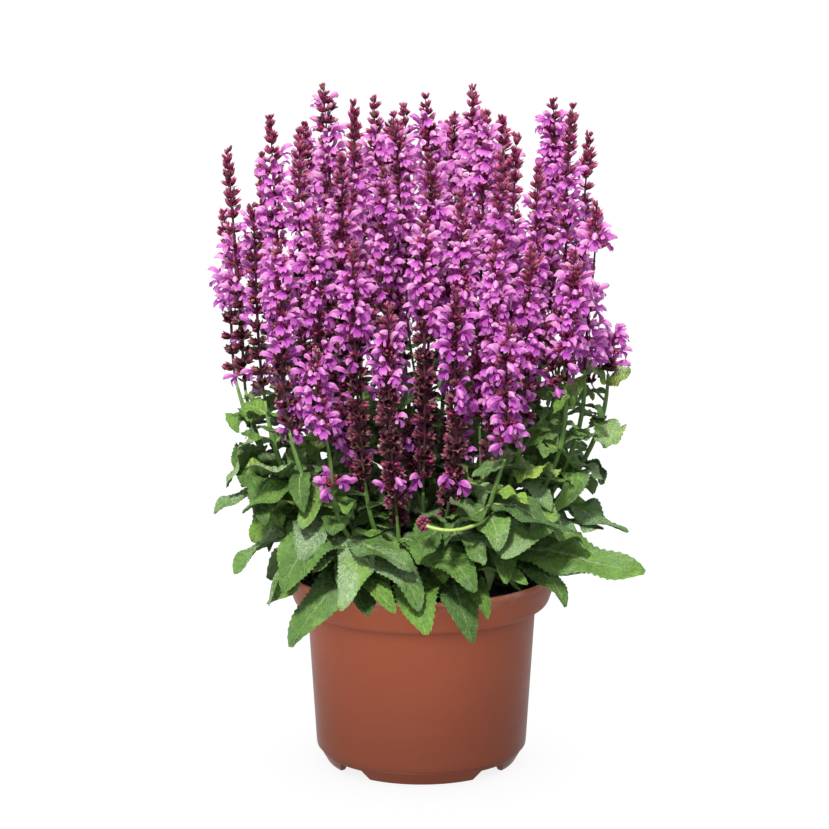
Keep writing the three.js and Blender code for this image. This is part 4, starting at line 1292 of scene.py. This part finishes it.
def lobe(start, way, breadth, half, violet):
    """A small rounded petal lobe: three rows of three points, drooping towards its end."""
    start, way, breadth = (np.array(v, float) for v in (start, way, breadth))
    rows = []
    for t, share in ((0.0, 0.5), (0.55, 1.0), (1.0, 0.6)):
        middle = start + t * way + np.array([0, 0, -0.8 * t * t])
        aside = share * half * breadth
        rows.append([middle + side * aside - (0, 0, 0.25 * abs(side)) for side in (-1, 0, 1)])
    return Form(
        np.reshape(rows, (-1, 3)),
        grid_triangles(3, 3),
        rim=np.tile([1.0, 0.0, 1.0], 3),
        violet=np.repeat([violet, violet - 0.25, violet - 0.4], 3),
    )


def corolla_form(draw):
    """One flower in millimetres, growing out along +x with its hood towards +z."""
    bend, gape = draw.uniform(-1.0, 0.8), draw.uniform(-0.8, 0.9)
    angles = np.linspace(0, 2 * math.pi, 5, endpoint=False)
    tube = [[(x - 0.7 * r * math.cos(a), r * math.sin(a), z + 0.7 * r * math.cos(a)) for a in angles]
            for x, z, r in ((2.2, 1.8, 0.8), (4.8, 4.0, 1.4))]
    hood = strip(
        [(3.9, 4.2), (4.7, 6.8), (6.4, 8.9), (8.6, 9.8 + bend), (10.6, 9.3 + bend), (12.0, 7.9 + bend)],
        [1.2, 1.7, 2.0, 2.1, 1.85, 1.2], [1.6, 2.8, 3.7, 3.8, 3.1, 2.0], 5, draw.uniform(1.25, 1.6))
    hood[-1] += np.outer((-0.7, 0.2, 0.5, 0.2, -0.7), (0.76, 0, -0.64))
    throat = strip([(4.9, 2.8), (6.7, 2.5 - 0.5 * gape)], [1.4, 2.0], [0.3, 0.1], 3, 1.2)
    tongue = strip(
        [(6.2, 2.4 - 0.5 * gape), (8.3, 2.2 - gape), (10.3, 1.1 - gape), (11.2, -1.3 - gape)],
        [0.9, 1.8, 2.8, 2.5], [0.1, -0.3, -0.5, 0.6], 5, 1.25)
    ruffle = draw.uniform(0.15, 0.5)
    tongue[-1] += np.outer((-1.1, 0.4, -0.7, 0.4, -1.1), (0.35, 0, -0.94))
    tongue[-1] += ruffle * np.outer((1, -1, 1, -1, 1), (0.94, 0, 0.35))
    tongue[-2] += 0.6 * ruffle * np.outer((-1, 1, -1, 1, -1), (0.5, 0, 0.8))
    hood_rim = np.concatenate([np.tile([1, 0, 0, 0, 1], 5), np.ones(5)])
    down_the_hood = np.repeat([0.8, 0.4, 0.1, 0.0, 0.0, 0.1], 5)
    # painted shade: the flanks of each hood are painted deeper violet, since they face aside from the
    # light
    painted_flank_shade = np.tile([0.55, 0.42, 0.0, 0.42, 0.55], 6)
    hood_violet_and_shade = down_the_hood + painted_flank_shade
    tongue_rim = np.repeat([0.0, 0.0, 0.1, 0.6], 5)
    tongue_violet = np.repeat([1.15, 1.0, 0.85, 0.65], 5)
    parts = [
        Form(np.reshape(tube, (-1, 3)), grid_triangles(2, 5, closed=True), violet=0.6, rim=0.0),
        Form(hood.reshape(-1, 3), grid_triangles(6, 5), rim=hood_rim, violet=hood_violet_and_shade),
        Form(throat.reshape(-1, 3), grid_triangles(2, 3), rim=0.0, violet=1.2),
        Form(tongue.reshape(-1, 3), grid_triangles(4, 5), rim=tongue_rim, violet=tongue_violet),
    ]
    for side in (-1, 1):
        start, way = (6.0, side * 1.5, 2.6), (2.0, side * draw.uniform(1.9, 3.2), -1.6 - gape)
        parts.append(lobe(start, way, (0.75, -0.45 * side, 0.2), 1.4, 0.95))
    return gathered(parts)


COROLLA_KINDS = 10
draw = np.random.default_rng(5)
COROLLAS = [corolla_form(draw) for _ in range(COROLLA_KINDS)]
print(len(COROLLAS), "kinds of corolla with", len(COROLLAS[0].triangles), "triangles each")

# %% [markdown]
# ### Calyx, bud and bract
#
# The calyx is turned like a bell, with every second point of each ring pulled in so that ribs
# appear, and its last ring drawn out to teeth. On a spent flower it is wider and gapes. A bud is
# a plainer bell of five flat sides that end in points, and just before it opens the closed petals
# show at its mouth as a round knob. Under every whorl sit two bracts, which are small pointed
# leaves with a keel.

# %% Calyx, bud and bract
def calyx_form(mouth, waist, tooth_reach, teeth):
    """A ribbed bell along +x in millimetres, with pointed teeth."""
    corners = 2 * teeth
    angles = np.linspace(0, 2 * math.pi, corners, endpoint=False)
    tooth = np.arange(corners) % 2 == 0
    rings = []
    for x, radius in ((0.0, 0.7), (2.2, 0.5 * (waist + mouth) + 0.25), (5.2, mouth)):
        ribbed = radius * np.where(tooth, 1.0, 0.82)
        y, z = ribbed * np.cos(angles), ribbed * np.sin(angles)
        rings.append(np.stack([np.full(corners, x), y, z], -1))
    length = np.where(tooth, 7.2, 5.3)
    end = np.where(tooth, tooth_reach, mouth * 0.88)
    rings.append(np.stack([length, end * np.cos(angles), end * np.sin(angles)], -1))
    depth = np.repeat([0.0, 0.35, 0.72], corners)
    depth = np.concatenate([depth, np.where(tooth, 1.0, 0.72)])
    ridge = np.tile(np.where(tooth, 1.0, 0.0), 4)
    walls = grid_triangles(4, corners, closed=True)
    return Form(np.reshape(rings, (-1, 3)), walls, ripe=depth, ridge=ridge)


def bud_form():
    """A calyx that hasn't opened: five flat sides that end in five sharp points."""
    rings = []
    for x, radius, turn in ((0.0, 0.6, 0), (2.3, 1.55, 0), (4.9, 1.5, 0), (7.6, 1.25, math.pi / 5)):
        angles = np.linspace(0, 2 * math.pi, 5, endpoint=False) + turn
        rings.append(np.stack([np.full(5, x), radius * np.cos(angles), radius * np.sin(angles)], -1))
    walls = grid_triangles(3, 5, closed=True)
    corner = np.arange(5)
    teeth = np.stack([10 + corner, 10 + (corner + 1) % 5, 15 + corner], -1)
    depth = np.repeat([0.0, 0.4, 0.7, 1.0], 5)
    ridge = np.repeat([0.0, 0.6, 0.0, 1.0], 5)
    return Form(np.reshape(rings, (-1, 3)), np.concatenate([walls, teeth]), ripe=depth, ridge=ridge)


def knob_form():
    """The closed petals that show at the mouth of a bud just before it opens."""
    angles = np.linspace(0, 2 * math.pi, 6, endpoint=False)
    rings = [[(x, r * math.cos(a), r * math.sin(a)) for a in angles]
             for x, r in ((3.8, 1.1), (6.0, 1.5), (8.0, 1.15), (9.0, 0.03))]
    return Form(np.reshape(rings, (-1, 3)), grid_triangles(4, 6, closed=True), violet=0.55, rim=0.2)


def bract_form():
    """A pointed, cupped bract along +x in millimetres."""
    rows = [(0.0, 0.8, 0.0), (1.6, 1.9, 0.3), (3.4, 1.9, 0.8), (5.4, 1.1, 1.6), (7.6, 0.05, 3.0)]
    points = [[(x, side * half, rise + 0.35 * abs(side) * half) for side in (-1, 0, 1)]
              for x, half, rise in rows]
    depth = np.repeat([0.2, 0.4, 0.6, 0.8, 1.0], 3)
    ridge = np.tile([1.0, 0.2, 1.0], 5)
    return Form(np.reshape(points, (-1, 3)), grid_triangles(5, 3), ripe=depth, ridge=ridge)


BUD_CALYX = bud_form()
OPEN_CALYX = calyx_form(2.0, 1.7, 2.5, 4)
SPENT_CALYX = calyx_form(2.5, 2.0, 2.9, 5)
KNOB = knob_form()
BRACT = bract_form()
for name, form in (("calyx", OPEN_CALYX), ("bud", BUD_CALYX), ("knob", KNOB), ("bract", BRACT)):
    print("a", name, "takes", len(form.triangles), "triangles")

# %% [markdown]
# ## The spikes
#
# A spike opens from the bottom up. At its tip the whorls are tight dark buds, then comes a long
# stretch in full flower, and at its foot the petals have dropped and only dark bells remain. The
# shares of bud and of spent whorls are set for each spike in front, because an early spike and a
# late one look very different side by side. The others take the common shares, give or take a
# little. Two spikes have a stretch of bare stem where the flowers have fallen with their calyces.

# %% How far each spike has opened
# by the spike's number: the share of its length, from the tip down, that is still in bud
BUD_SHARES = {
    1: 0.42, 2: 0.4, 3: 0.2, 4: 0.12, 7: 0.22, 11: 0.2, 20: 0.26, 24: 0.26, 26: 0.34, 27: 0.1, 28: 0.12,
    29: 0.24, 30: 0.16, 31: 0.14, 32: 0.12, 33: 0.12, 34: 0.12, 35: 0.34, 36: 0.55, 41: 0.1, 42: 0.1,
    43: 0.1,
}
# and the share of its length, from the tip down, below which most flowers are spent
SPENT_SHARES = {
    1: 0.68, 2: 0.62, 6: 0.6, 7: 0.5, 8: 1.0, 9: 0.5, 10: 0.4, 11: 0.5, 12: 0.45, 13: 0.42, 14: 0.45,
    15: 0.4, 16: 0.42, 17: 0.75, 18: 0.9, 19: 0.85, 20: 0.8, 22: 0.8,
}
# from one share of the length to another, and how green the rachis of that spike is
BARE_STRETCHES = {8: (0.57, 0.9, 0.9), 22: (0.3, 0.55, 0.0)}
COMMON_BUD_SHARE = 0.15
COMMON_SPENT_SHARE = 0.7
print("bud shares are set for", len(BUD_SHARES), "spikes, spent shares for", len(SPENT_SHARES))

# %% [markdown]
# ### Rachis and whorls
#
# The rachis is the stem inside the spike. Along it stand the whorls, tight at the tip and wider
# apart below, so each gap is a little larger than the last one until it reaches its full width.
# The rachis is dark purple, and at its foot it greens towards the leafy stem.

# %% Rachis and heights of the whorls
FIRST_WHORL = 0.0046
LAST_MARGIN = 0.003
WHORL_GAP_TOP = 0.0042
WHORL_GAP_STEP = 1.1
WHORL_GAP_MAX = 0.0100
RACHIS_SECTIONS = 18
RACHIS_TIP_SHARE = 0.35
RACHIS_TAPER = 0.08
RACHIS_GREEN = 0.45
GREEN_FROM = 0.82


def whorl_depths(shoot, draw):
    """How far below the tip each whorl stands."""
    length = shoot["tip"][2] - shoot["base"]
    bare = BARE_STRETCHES.get(shoot["number"], (1, 1, 0))
    depths = []
    gap, depth = WHORL_GAP_TOP, FIRST_WHORL
    while depth + LAST_MARGIN < length:
        if not bare[0] < depth / length < bare[1]:
            depths.append(depth)
        gap = min(gap * WHORL_GAP_STEP, WHORL_GAP_MAX)
        depth += gap * draw.uniform(0.88, 1.12)
    return depths


def axis_basis(shoot, z):
    """Across, across and along the spike's axis at a height."""
    return frame_along(shoot["axis"](shoot, z - MM), shoot["axis"](shoot, z + MM))


def pointing(direction, upward):
    """A basis whose x axis lies along a direction, with z as near to upward as it can be."""
    x = direction / np.linalg.norm(direction)
    y = np.cross(upward, x)
    y /= np.linalg.norm(y)
    return np.stack([x, y, np.cross(x, y)])


def rachis_form(shoot):
    length = shoot["tip"][2] - shoot["base"]
    depths = np.linspace(length + 0.0002, 0.002, RACHIS_SECTIONS)
    fullness = RACHIS_TIP_SHARE + (1 - RACHIS_TIP_SHARE) * smoothstep(depths, 0, RACHIS_TAPER)
    path = [shoot["axis"](shoot, shoot["tip"][2] - d) for d in depths]
    green = RACHIS_GREEN * smoothstep(depths / length, GREEN_FROM, 1.0)
    if shoot["number"] in BARE_STRETCHES:
        green = BARE_STRETCHES[shoot["number"]][2]
    flat = np.zeros(len(path))
    marks = {"ripe": flat, "ridge": flat, "old": flat + green, "stalk": flat + 1}
    return swept(path, RACHIS_RADIUS * fullness, SQUARE, math.pi / 4, **marks)


tallest = max(shoots, key=lambda shoot: shoot["tip"][2])
print("the tallest spike has", len(whorl_depths(tallest, np.random.default_rng(0))), "whorls")

# %% [markdown]
# ### One flower
#
# In bud a flower is only its closed calyx, pressed upward against the stem. Open, it is a calyx
# with one of the corollas in it, which leans out and turns a little by chance. Spent, it is a
# gaping calyx, and in some of them the petals still hang, withered to a dark crimson knob. Those
# few are drawn from a sequence of their own, so that their share can be changed without moving
# anything else on the plant. Low on the plant the flowers are shaded, so their colour is painted
# deeper there, as painted shade, and they face more outward.

# %% One flower and one bract
BUD_TILT = 1.15
BUD_TILT_FALL = 0.55
SEAT_RADIUS = 0.001
MOST_SPENT = 0.96
KNOB_FROM = 0.6
KNOB_CHANCE = 0.35
KNOB_SIZE = 0.95
LOW_FLOWERS = 0.24
HIGH_FLOWERS = 0.40
COMMON_TINT = 0.24
# how much deeper the colour of the lowest flowers is painted, as painted shade
LOW_PAINTED_SHADE = 0.46
TINT_SPREAD = 0.15
FLOWER_LEAN = 0.55
LOW_LEAN = 0.35
LEAN_SPREAD = 0.28
TURN_SPREAD = 0.45
WITHERED_SHARE = 0.14
WITHERED_SIZE = 0.92
WITHERED_TINT = 0.64
BRACT_DROP = 0.0012
withering = np.random.default_rng(404)


def flower_at(place, angle, size, share, ripeness, draw):
    """One flower: in bud above, open in the middle, often spent below."""
    centre, (side, other, along) = place
    outward = math.cos(angle) * side + math.sin(angle) * other
    in_bud = share < ripeness["bud"] + draw.normal(0, 0.03)
    end = ripeness["spent"]
    past_the_end = smoothstep(share, end - 0.12, end + 0.08)
    spent_chance = ripeness["shed"] + (MOST_SPENT - ripeness["shed"]) * past_the_end
    spent = not in_bud and draw.random() < spent_chance and share < ripeness["fresh"]
    if in_bud:
        tilt = BUD_TILT - BUD_TILT_FALL * smoothstep(share, 0.0, ripeness["bud"]) + draw.normal(0, 0.24)
    else:
        tilt = draw.uniform(0.1, 0.75) if spent else draw.uniform(0.35, 1.0)
    way = pointing(outward * math.cos(tilt) + along * math.sin(tilt), along)
    origin = centre + SEAT_RADIUS * outward
    scale = MM * size * draw.uniform(0.85, 1.02)
    old = draw.uniform(0.7, 1.0) if spent else ripeness["age"] + draw.uniform(0, 0.25)
    calyx = BUD_CALYX if in_bud else SPENT_CALYX if spent else OPEN_CALYX
    dark = [calyx.placed(origin, way, scale, old=old, stalk=0.0)]
    low_down = 1 - smoothstep(centre[2], LOW_FLOWERS, HIGH_FLOWERS)
    # the tint holds each flower's own colour shift and, low on the plant, painted shade that deepens it
    tint = COMMON_TINT + LOW_PAINTED_SHADE * low_down + ripeness["tint"] + draw.normal(0, TINT_SPREAD)
    if in_bud and share > KNOB_FROM * ripeness["bud"] and draw.random() < KNOB_CHANCE:
        return dark, [KNOB.placed(origin, way, scale * KNOB_SIZE, tint=tint)]
    if spent and withering.random() < WITHERED_SHARE:
        left = scale * WITHERED_SIZE
        dark.append(KNOB.placed(origin, way, left, ripe=WITHERED_TINT, old=0.0, stalk=0.0))
    if in_bud or spent:
        return dark, []
    turn, roll = draw.normal(0, TURN_SPREAD), draw.normal(0, TURN_SPREAD)
    lean = tilt - FLOWER_LEAN - LOW_LEAN * low_down + draw.normal(0, LEAN_SPREAD)
    across = np.cross(along, outward)
    flat = outward * math.cos(turn) + across * math.sin(turn)
    corolla = COROLLAS[draw.integers(len(COROLLAS))]
    basis = pointing(flat * math.cos(lean) + along * math.sin(lean), along + roll * across)
    petal_scale = MM * ripeness["petal"] * (0.75 + 0.25 * size) * draw.uniform(0.84, 1.06)
    return dark, [corolla.placed(origin, basis, petal_scale, tint=tint)]


def bract_at(place, facing, size, share, ripeness, draw):
    centre, (side, other, along) = place
    outward = math.cos(facing) * side + math.sin(facing) * other
    way = outward + along * (draw.uniform(0.0, 0.6) + 0.8 * (1 - smoothstep(share, 0, 0.1)))
    old = ripeness["age"] + draw.uniform(0, 0.3) + 0.4 * share
    origin = centre + 0.0008 * outward - BRACT_DROP * size * along
    scale = MM * size * draw.uniform(0.7, 1.0)
    return BRACT.placed(origin, pointing(way, along), scale, old=min(old, 1), stalk=0.0)


print("an open flower takes", len(OPEN_CALYX.triangles) + len(COROLLAS[0].triangles), "triangles")

# %% [markdown]
# ### Side spikes
#
# The axils of the upper leaves often carry a second, shorter spike close beside the first. On an
# early shoot it is still mostly in bud, and on a late one it has shed its petals like its parent.
# It follows its parent's axis at a small distance that it gains in a curve, so it never crosses
# the parent.

# %% Side spikes
SIDE_SPIKE_SWING = 0.9
FADED_LENGTH = 0.6
SIDE_STEM_SECTIONS = 8
SIDE_STEM_RADIUS = 0.0011
SIDE_STEM_GREEN = 0.7


def side_axis(shoot, z):
    """A side spike leaves its parent's stem in a curve and then rises beside it."""
    parent = shoot["parent"]
    climb = (z - shoot["root"]) / (shoot["tip"][2] - shoot["root"])
    beside = shoot["reach"] * (1 - (1 - max(climb, 0)) ** 2.2)
    below = z < parent["base"]
    middle = stem_point(parent, z) if below else axis_point(parent, min(z, parent["tip"][2]))
    return middle + beside * shoot["aside"]


def side_spike(parent, faded, draw):
    """A shorter spike from the axil of one of the upper leaves."""
    length = (parent["tip"][2] - parent["base"]) * (FADED_LENGTH if faded else 1)
    inward = math.atan2(-parent["tip"][1], -parent["tip"][0])
    azimuth = inward + draw.uniform(-1, 1) * (SIDE_SPIKE_SWING if is_outer(parent) else math.pi)
    top = parent["base"] + length * draw.uniform(0.22, 0.62)
    shoot = {
        "number": -parent["number"],
        "parent": parent,
        "axis": side_axis,
        "faded": faded,
        "root": parent["base"] - draw.uniform(0.012, 0.03),
        "reach": draw.uniform(0.012, 0.019),
        "aside": np.array([math.cos(azimuth), math.sin(azimuth), 0]),
        "tip": np.array([0, 0, top]),
    }
    shoot["base"] = max(top - draw.uniform(0.045, 0.09), shoot["root"] + 0.008)
    return shoot


def side_stem(shoot):
    heights = np.linspace(shoot["root"], shoot["base"] + 0.001, SIDE_STEM_SECTIONS)
    flat = np.zeros(len(heights))
    path = [side_axis(shoot, z) for z in heights]
    marks = {"ripe": flat, "ridge": flat, "old": flat + SIDE_STEM_GREEN, "stalk": flat + 1}
    return swept(path, flat + SIDE_STEM_RADIUS, SQUARE, math.pi / 4, **marks)


print("a side spike's stem is", 2000 * SIDE_STEM_RADIUS, "mm across")

# %% [markdown]
# ### A whole spike
#
# Each whorl is two opposite groups of three flowers over a pair of bracts, and the next whorl is
# turned by a quarter, as the leaves are. The whorls shrink towards the tip. Every spike draws its
# own tint, age and petal size once, so that its flowers look alike and its neighbours don't. In
# the front row the lower whorls of the late spikes are a little fuller, as old whorls spread.

# %% Everything on one spike
TIP_SIZE = 0.55
FULL_SIZE_DEPTH = 0.022
FRONT_ROW = -0.09
FRONT_FULLNESS = 1.12
LATE_SPIKE = 0.6
BELOW_THE_FOOT = 1.2
SEAT_SPREAD = (0.62, 0.9)


def ripeness_of(shoot, draw):
    """How far the flowers of a spike have come, and what they have in common."""
    number = shoot["number"]
    bud_share = BUD_SHARES.get(number, COMMON_BUD_SHARE + draw.uniform(-0.06, 0.12))
    spent_share = SPENT_SHARES.get(number, COMMON_SPENT_SHARE + draw.uniform(-0.15, 0.18))
    ripeness = {
        "bud": bud_share,
        "spent": spent_share,
        "tint": draw.uniform(-0.2, 0.2),
        "age": draw.uniform(0, 0.3),
        "petal": draw.uniform(1.0, 1.15),
        "shed": draw.uniform(0.0, 0.32),
        "fresh": BARE_STRETCHES.get(number, (2, 2, 0))[1],
    }
    if shoot["axis"] is side_axis:
        ripeness["bud"] = 0.02 if shoot["faded"] else draw.uniform(0.3, 0.8)
        ripeness["spent"] = 0.0 if shoot["faded"] else BELOW_THE_FOOT
    return ripeness


def spike_forms(shoot, draw):
    """Everything on one spike: its burgundy and green parts, and its petals."""
    length = shoot["tip"][2] - shoot["base"]
    ripeness = ripeness_of(shoot, draw)
    fuller = ripeness["spent"] < LATE_SPIKE and shoot["tip"][1] < FRONT_ROW
    dark, petals = [rachis_form(shoot)], []
    first = draw.uniform(0, math.pi)
    for row, depth in enumerate(whorl_depths(shoot, draw)):
        z = shoot["tip"][2] - depth
        share = depth / length
        middle, basis = shoot["axis"](shoot, z), axis_basis(shoot, z)
        size = TIP_SIZE + (1 - TIP_SIZE) * smoothstep(depth, 0, FULL_SIZE_DEPTH)
        if fuller and share > ripeness["spent"]:
            size *= FRONT_FULLNESS
        place = middle, basis
        for group in range(2):
            fullness, shift = draw.uniform(0.82, 1.1), draw.normal(0, 0.0009)
            facing = first + row * math.pi / 2 + group * math.pi + draw.normal(0, 0.12)
            dark.append(bract_at(place, facing, size, share, ripeness, draw))
            for seat in (-1, 0, 1):
                angle = facing + seat * draw.uniform(*SEAT_SPREAD)
                place = middle + (0, 0, shift + draw.normal(0, 0.0005)), basis
                made = flower_at(place, angle, size * fullness, share, ripeness, draw)
                dark += made[0]
                petals += made[1]
    return dark, petals


print("whorls grow from", TIP_SIZE, "to full size over", 1000 * FULL_SIZE_DEPTH, "mm below the tip")

# %% [markdown]
# ### Finish of the flowers
#
# The petals are thin and cool pink, lighter on the hood and rims and deeper violet in the throat
# and tongue, and they let some light through. The flanks of each hood are painted deeper violet
# too, as painted shade, since they face aside from the light. The calyces are burgundy, nearly
# black at the foot and redder towards the ribs and teeth. They darken as they age, and here and
# there an olive patch shows. Both finishes read the marks that the forms carry, with a tint for
# each flower on top, so that neighbours differ; low on the plant that tint also holds painted
# shade. The stalk mark gives the rachis its own colour, from dark purple to green.

# %% Petals and calyces
PETAL_RIM_COLOUR = (0.90, 0.56, 0.82)
BACKLIT_PETAL_COLOUR = (0.9, 0.24, 0.78)
PETAL_TRANSLUCENCY = 0.44
OLIVE = (0.19, 0.19, 0.08)
RACHIS_PURPLE = (0.075, 0.014, 0.028)
RACHIS_GREEN_COLOUR = (0.12, 0.24, 0.05)


def petal_skin():
    recipe = Recipe("petal_skin")
    veins = recipe.noise(700, 2, recipe.place((1, 1, 0.3)))
    tint = recipe.maths("SUBTRACT", recipe.mark("tint"), 0.5)
    amount = recipe.maths("MULTIPLY_ADD", tint, 0.6, recipe.mark("violet"))
    amount = recipe.maths("MULTIPLY_ADD", recipe.maths("SUBTRACT", veins, 0.5), 0.5, amount)
    colour = recipe.ramp(amount, [
        (0.0, (0.83, 0.49, 0.73)), (0.35, (0.79, 0.28, 0.66)), (0.7, (0.63, 0.11, 0.61)),
        (1.0, (0.40, 0.03, 0.42)),
    ])
    rimmed = recipe.mix(recipe.maths("MULTIPLY", recipe.mark("rim"), 0.42), colour, PETAL_RIM_COLOUR)
    recipe.feed(recipe.shader.inputs["Base Color"], rimmed)
    recipe.shader.inputs["Roughness"].default_value = 0.6
    recipe.shader.inputs["Sheen Weight"].default_value = 0.15
    normal = recipe.bump(veins, 0.3, 0.0002)
    backlit = recipe.mix(0.35, rimmed, BACKLIT_PETAL_COLOUR)
    recipe.let_light_through(backlit, PETAL_TRANSLUCENCY, normal)
    return recipe.material


def calyx_skin():
    recipe = Recipe("calyx_skin")
    speck = recipe.noise(500, 3)
    ripe = recipe.maths("MULTIPLY_ADD", recipe.maths("SUBTRACT", speck, 0.5), 0.6, recipe.mark("ripe"))
    ripe = recipe.maths("MULTIPLY_ADD", recipe.mark("ridge"), 0.2, ripe)
    young = recipe.ramp(ripe, [
        (0.0, (0.06, 0.022, 0.018)), (0.35, (0.19, 0.009, 0.055)), (0.75, (0.40, 0.02, 0.14)),
        (1.0, (0.78, 0.26, 0.44)),
    ])
    aged = recipe.ramp(ripe, [
        (0.0, (0.02, 0.014, 0.007)), (0.55, (0.04, 0.006, 0.014)), (0.85, (0.1, 0.014, 0.036)),
        (1.0, (0.22, 0.08, 0.09)),
    ])
    olive = recipe.band(recipe.noise(300, 3), 0.54, 0.66, 0.0, 0.65)
    colour = recipe.mix(olive, recipe.mix(recipe.mark("old"), young, aged), OLIVE)
    stalk = recipe.mix(recipe.mark("old"), RACHIS_PURPLE, RACHIS_GREEN_COLOUR)
    recipe.feed(recipe.shader.inputs["Base Color"], recipe.mix(recipe.mark("stalk"), colour, stalk))
    recipe.shader.inputs["Roughness"].default_value = 0.55
    recipe.bump(speck, 0.3, 0.0003)
    return recipe.material


petal_material, calyx_material = petal_skin(), calyx_skin()
print("the petal skin has", len(petal_material.node_tree.nodes), "nodes")

# %% [markdown]
# ### Dressing all the spikes
#
# Each of the frame's spikes becomes two pieces, one for each finish: the dark parts and the
# petals. A side spike goes into the pieces of its parent, because it stands on the same shoot.
# Where the flowers of a spike fade early, a faded side spike nearly always stands beside it, so
# its foot looks full.

# %% Dress every spike
SIDE_SPIKE_CHANCE = 0.6
FADING_SHARE = 0.55
FADED_SPIKE_CHANCE = 0.95

draw = np.random.default_rng(77)
for shoot in shoots:
    shoot["axis"] = axis_point
    dark, petals = spike_forms(shoot, draw)
    fading = SPENT_SHARES.get(shoot["number"], COMMON_SPENT_SHARE) < FADING_SHARE
    chance = FADED_SPIKE_CHANCE if fading else SIDE_SPIKE_CHANCE
    if draw.random() < chance and shoot["number"] not in BARE_STRETCHES:
        side = side_spike(shoot, fading, draw)
        more_dark, more_petals = spike_forms(side, draw)
        dark += more_dark + [side_stem(side)]
        petals += more_petals
    number = two_digits(shoot["number"])
    node = ["flower_spike_" + number]
    make_piece("spike_calyces_" + number, gathered(dark), calyx_material, "flower", node)
    make_piece("spike_petals_" + number, gathered(petals), petal_material, "flower", node)
total = sum(triangle_count.values())
print("pieces", len(triangle_count), "triangles", total, "largest", max(triangle_count.values()))

# %% [markdown]
# ### A side shoot with a cluster of buds
# One thin shoot leans out at the front, sags, and ends in a tight cluster of crimson buds that
# haven't opened. It is swept along the frame's curve, bowed a little further to the front so that
# it passes over the leaves. The buds are stout copies of the closed calyx, each with its closed
# petals, that point away from the middle of the cluster in an even spiral, as seeds sit on a seed
# head. A finish of its own makes the shoot smoother than the old stems, and paler: partly the real
# pale green of a young shoot, partly painted light that lifts it out of the shade of the leaves.

# %% Side shoot
SIDE_SHOOT_PARENT = 18
SIDE_SHOOT_ROOT = 0.198
SIDE_SHOOT_END = (0.001, -0.126, 0.199)
SIDE_SHOOT_SAG = 0.0025
SIDE_SHOOT_BOW = 0.018
SIDE_SHOOT_RADIUS = 0.0014
SIDE_SHOOT_SECTIONS = 14
CLUSTER_BUDS = 26
CLUSTER_STRETCH = (1, 1, 1.9)
STOUTNESS = np.array([[0.62], [1.0], [1.0]])
GOLDEN_ANGLE = math.pi * (3 - math.sqrt(5))


def young_shoot_painted_light_skin():
    """Smooth and pale: a young shoot has hardly any leaf green yet, and it is painted paler still as
    painted light, since the leaves around it shade it.
    """
    recipe = Recipe("young_shoot_painted_light_skin")
    # partly the real pale green of a young shoot, partly painted light that lifts it out of the leaves'
    # shade
    colour = recipe.ramp(recipe.noise(160, 2), [(0.3, (0.30, 0.46, 0.09)), (0.7, (0.44, 0.58, 0.16))])
    recipe.feed(recipe.shader.inputs["Base Color"], colour)
    recipe.shader.inputs["Roughness"].default_value = 0.5
    recipe.bump(recipe.noise(1400, 2, recipe.place((0.1, 1, 1))), 0.3, 0.0002)
    return recipe.material


parent = shoots[SIDE_SHOOT_PARENT - 1]
start, end = point_on_frame_stem(parent, SIDE_SHOOT_ROOT), np.array(SIDE_SHOOT_END)
along = np.linspace(0, 1, SIDE_SHOOT_SECTIONS)
path, _ = bezier(start, end, -2 * SIDE_SHOOT_SAG, along)
path[:, 1] -= SIDE_SHOOT_BOW * np.sin(np.pi * along) ** 0.7
shoot_form = swept(path, np.full(SIDE_SHOOT_SECTIONS, SIDE_SHOOT_RADIUS), SQUARE, math.pi / 4)
node = ["leafy_stems_" + two_digits(parent["clump"] + 1)]
make_piece("side_shoot_stem", shoot_form, young_shoot_painted_light_skin(), "green_leaf", node)

draw = np.random.default_rng(9)
buds = []
for k in range(CLUSTER_BUDS):
    rise = 1 - 2 * (k + 0.5) / CLUSTER_BUDS
    round_axis = k * GOLDEN_ANGLE + draw.normal(0, 0.2)
    flat = math.sqrt(1 - rise * rise)
    outward = np.array([flat * math.cos(round_axis), flat * math.sin(round_axis), rise])
    basis = STOUTNESS * pointing(outward, np.array([0.3, 0.2, 1.0]))
    scale = MM * draw.uniform(0.62, 0.8)
    origin = end + 0.0009 * outward * CLUSTER_STRETCH
    buds.append(BUD_CALYX.placed(origin, basis, scale, old=draw.uniform(0.3, 0.9), stalk=0.0))
    buds.append(KNOB.placed(origin, basis, scale, ripe=draw.uniform(0.25, 0.62), old=0.1, stalk=0.0))
make_piece("side_shoot_buds", gathered(buds), calyx_material, "flower", node)
total = sum(triangle_count.values())
print("with the side shoot, pieces", len(triangle_count), "triangles", total)

# %% [markdown]
# ## Finish
#
# The fine surface may stand a few millimetres proud of the plain solids, but no more.
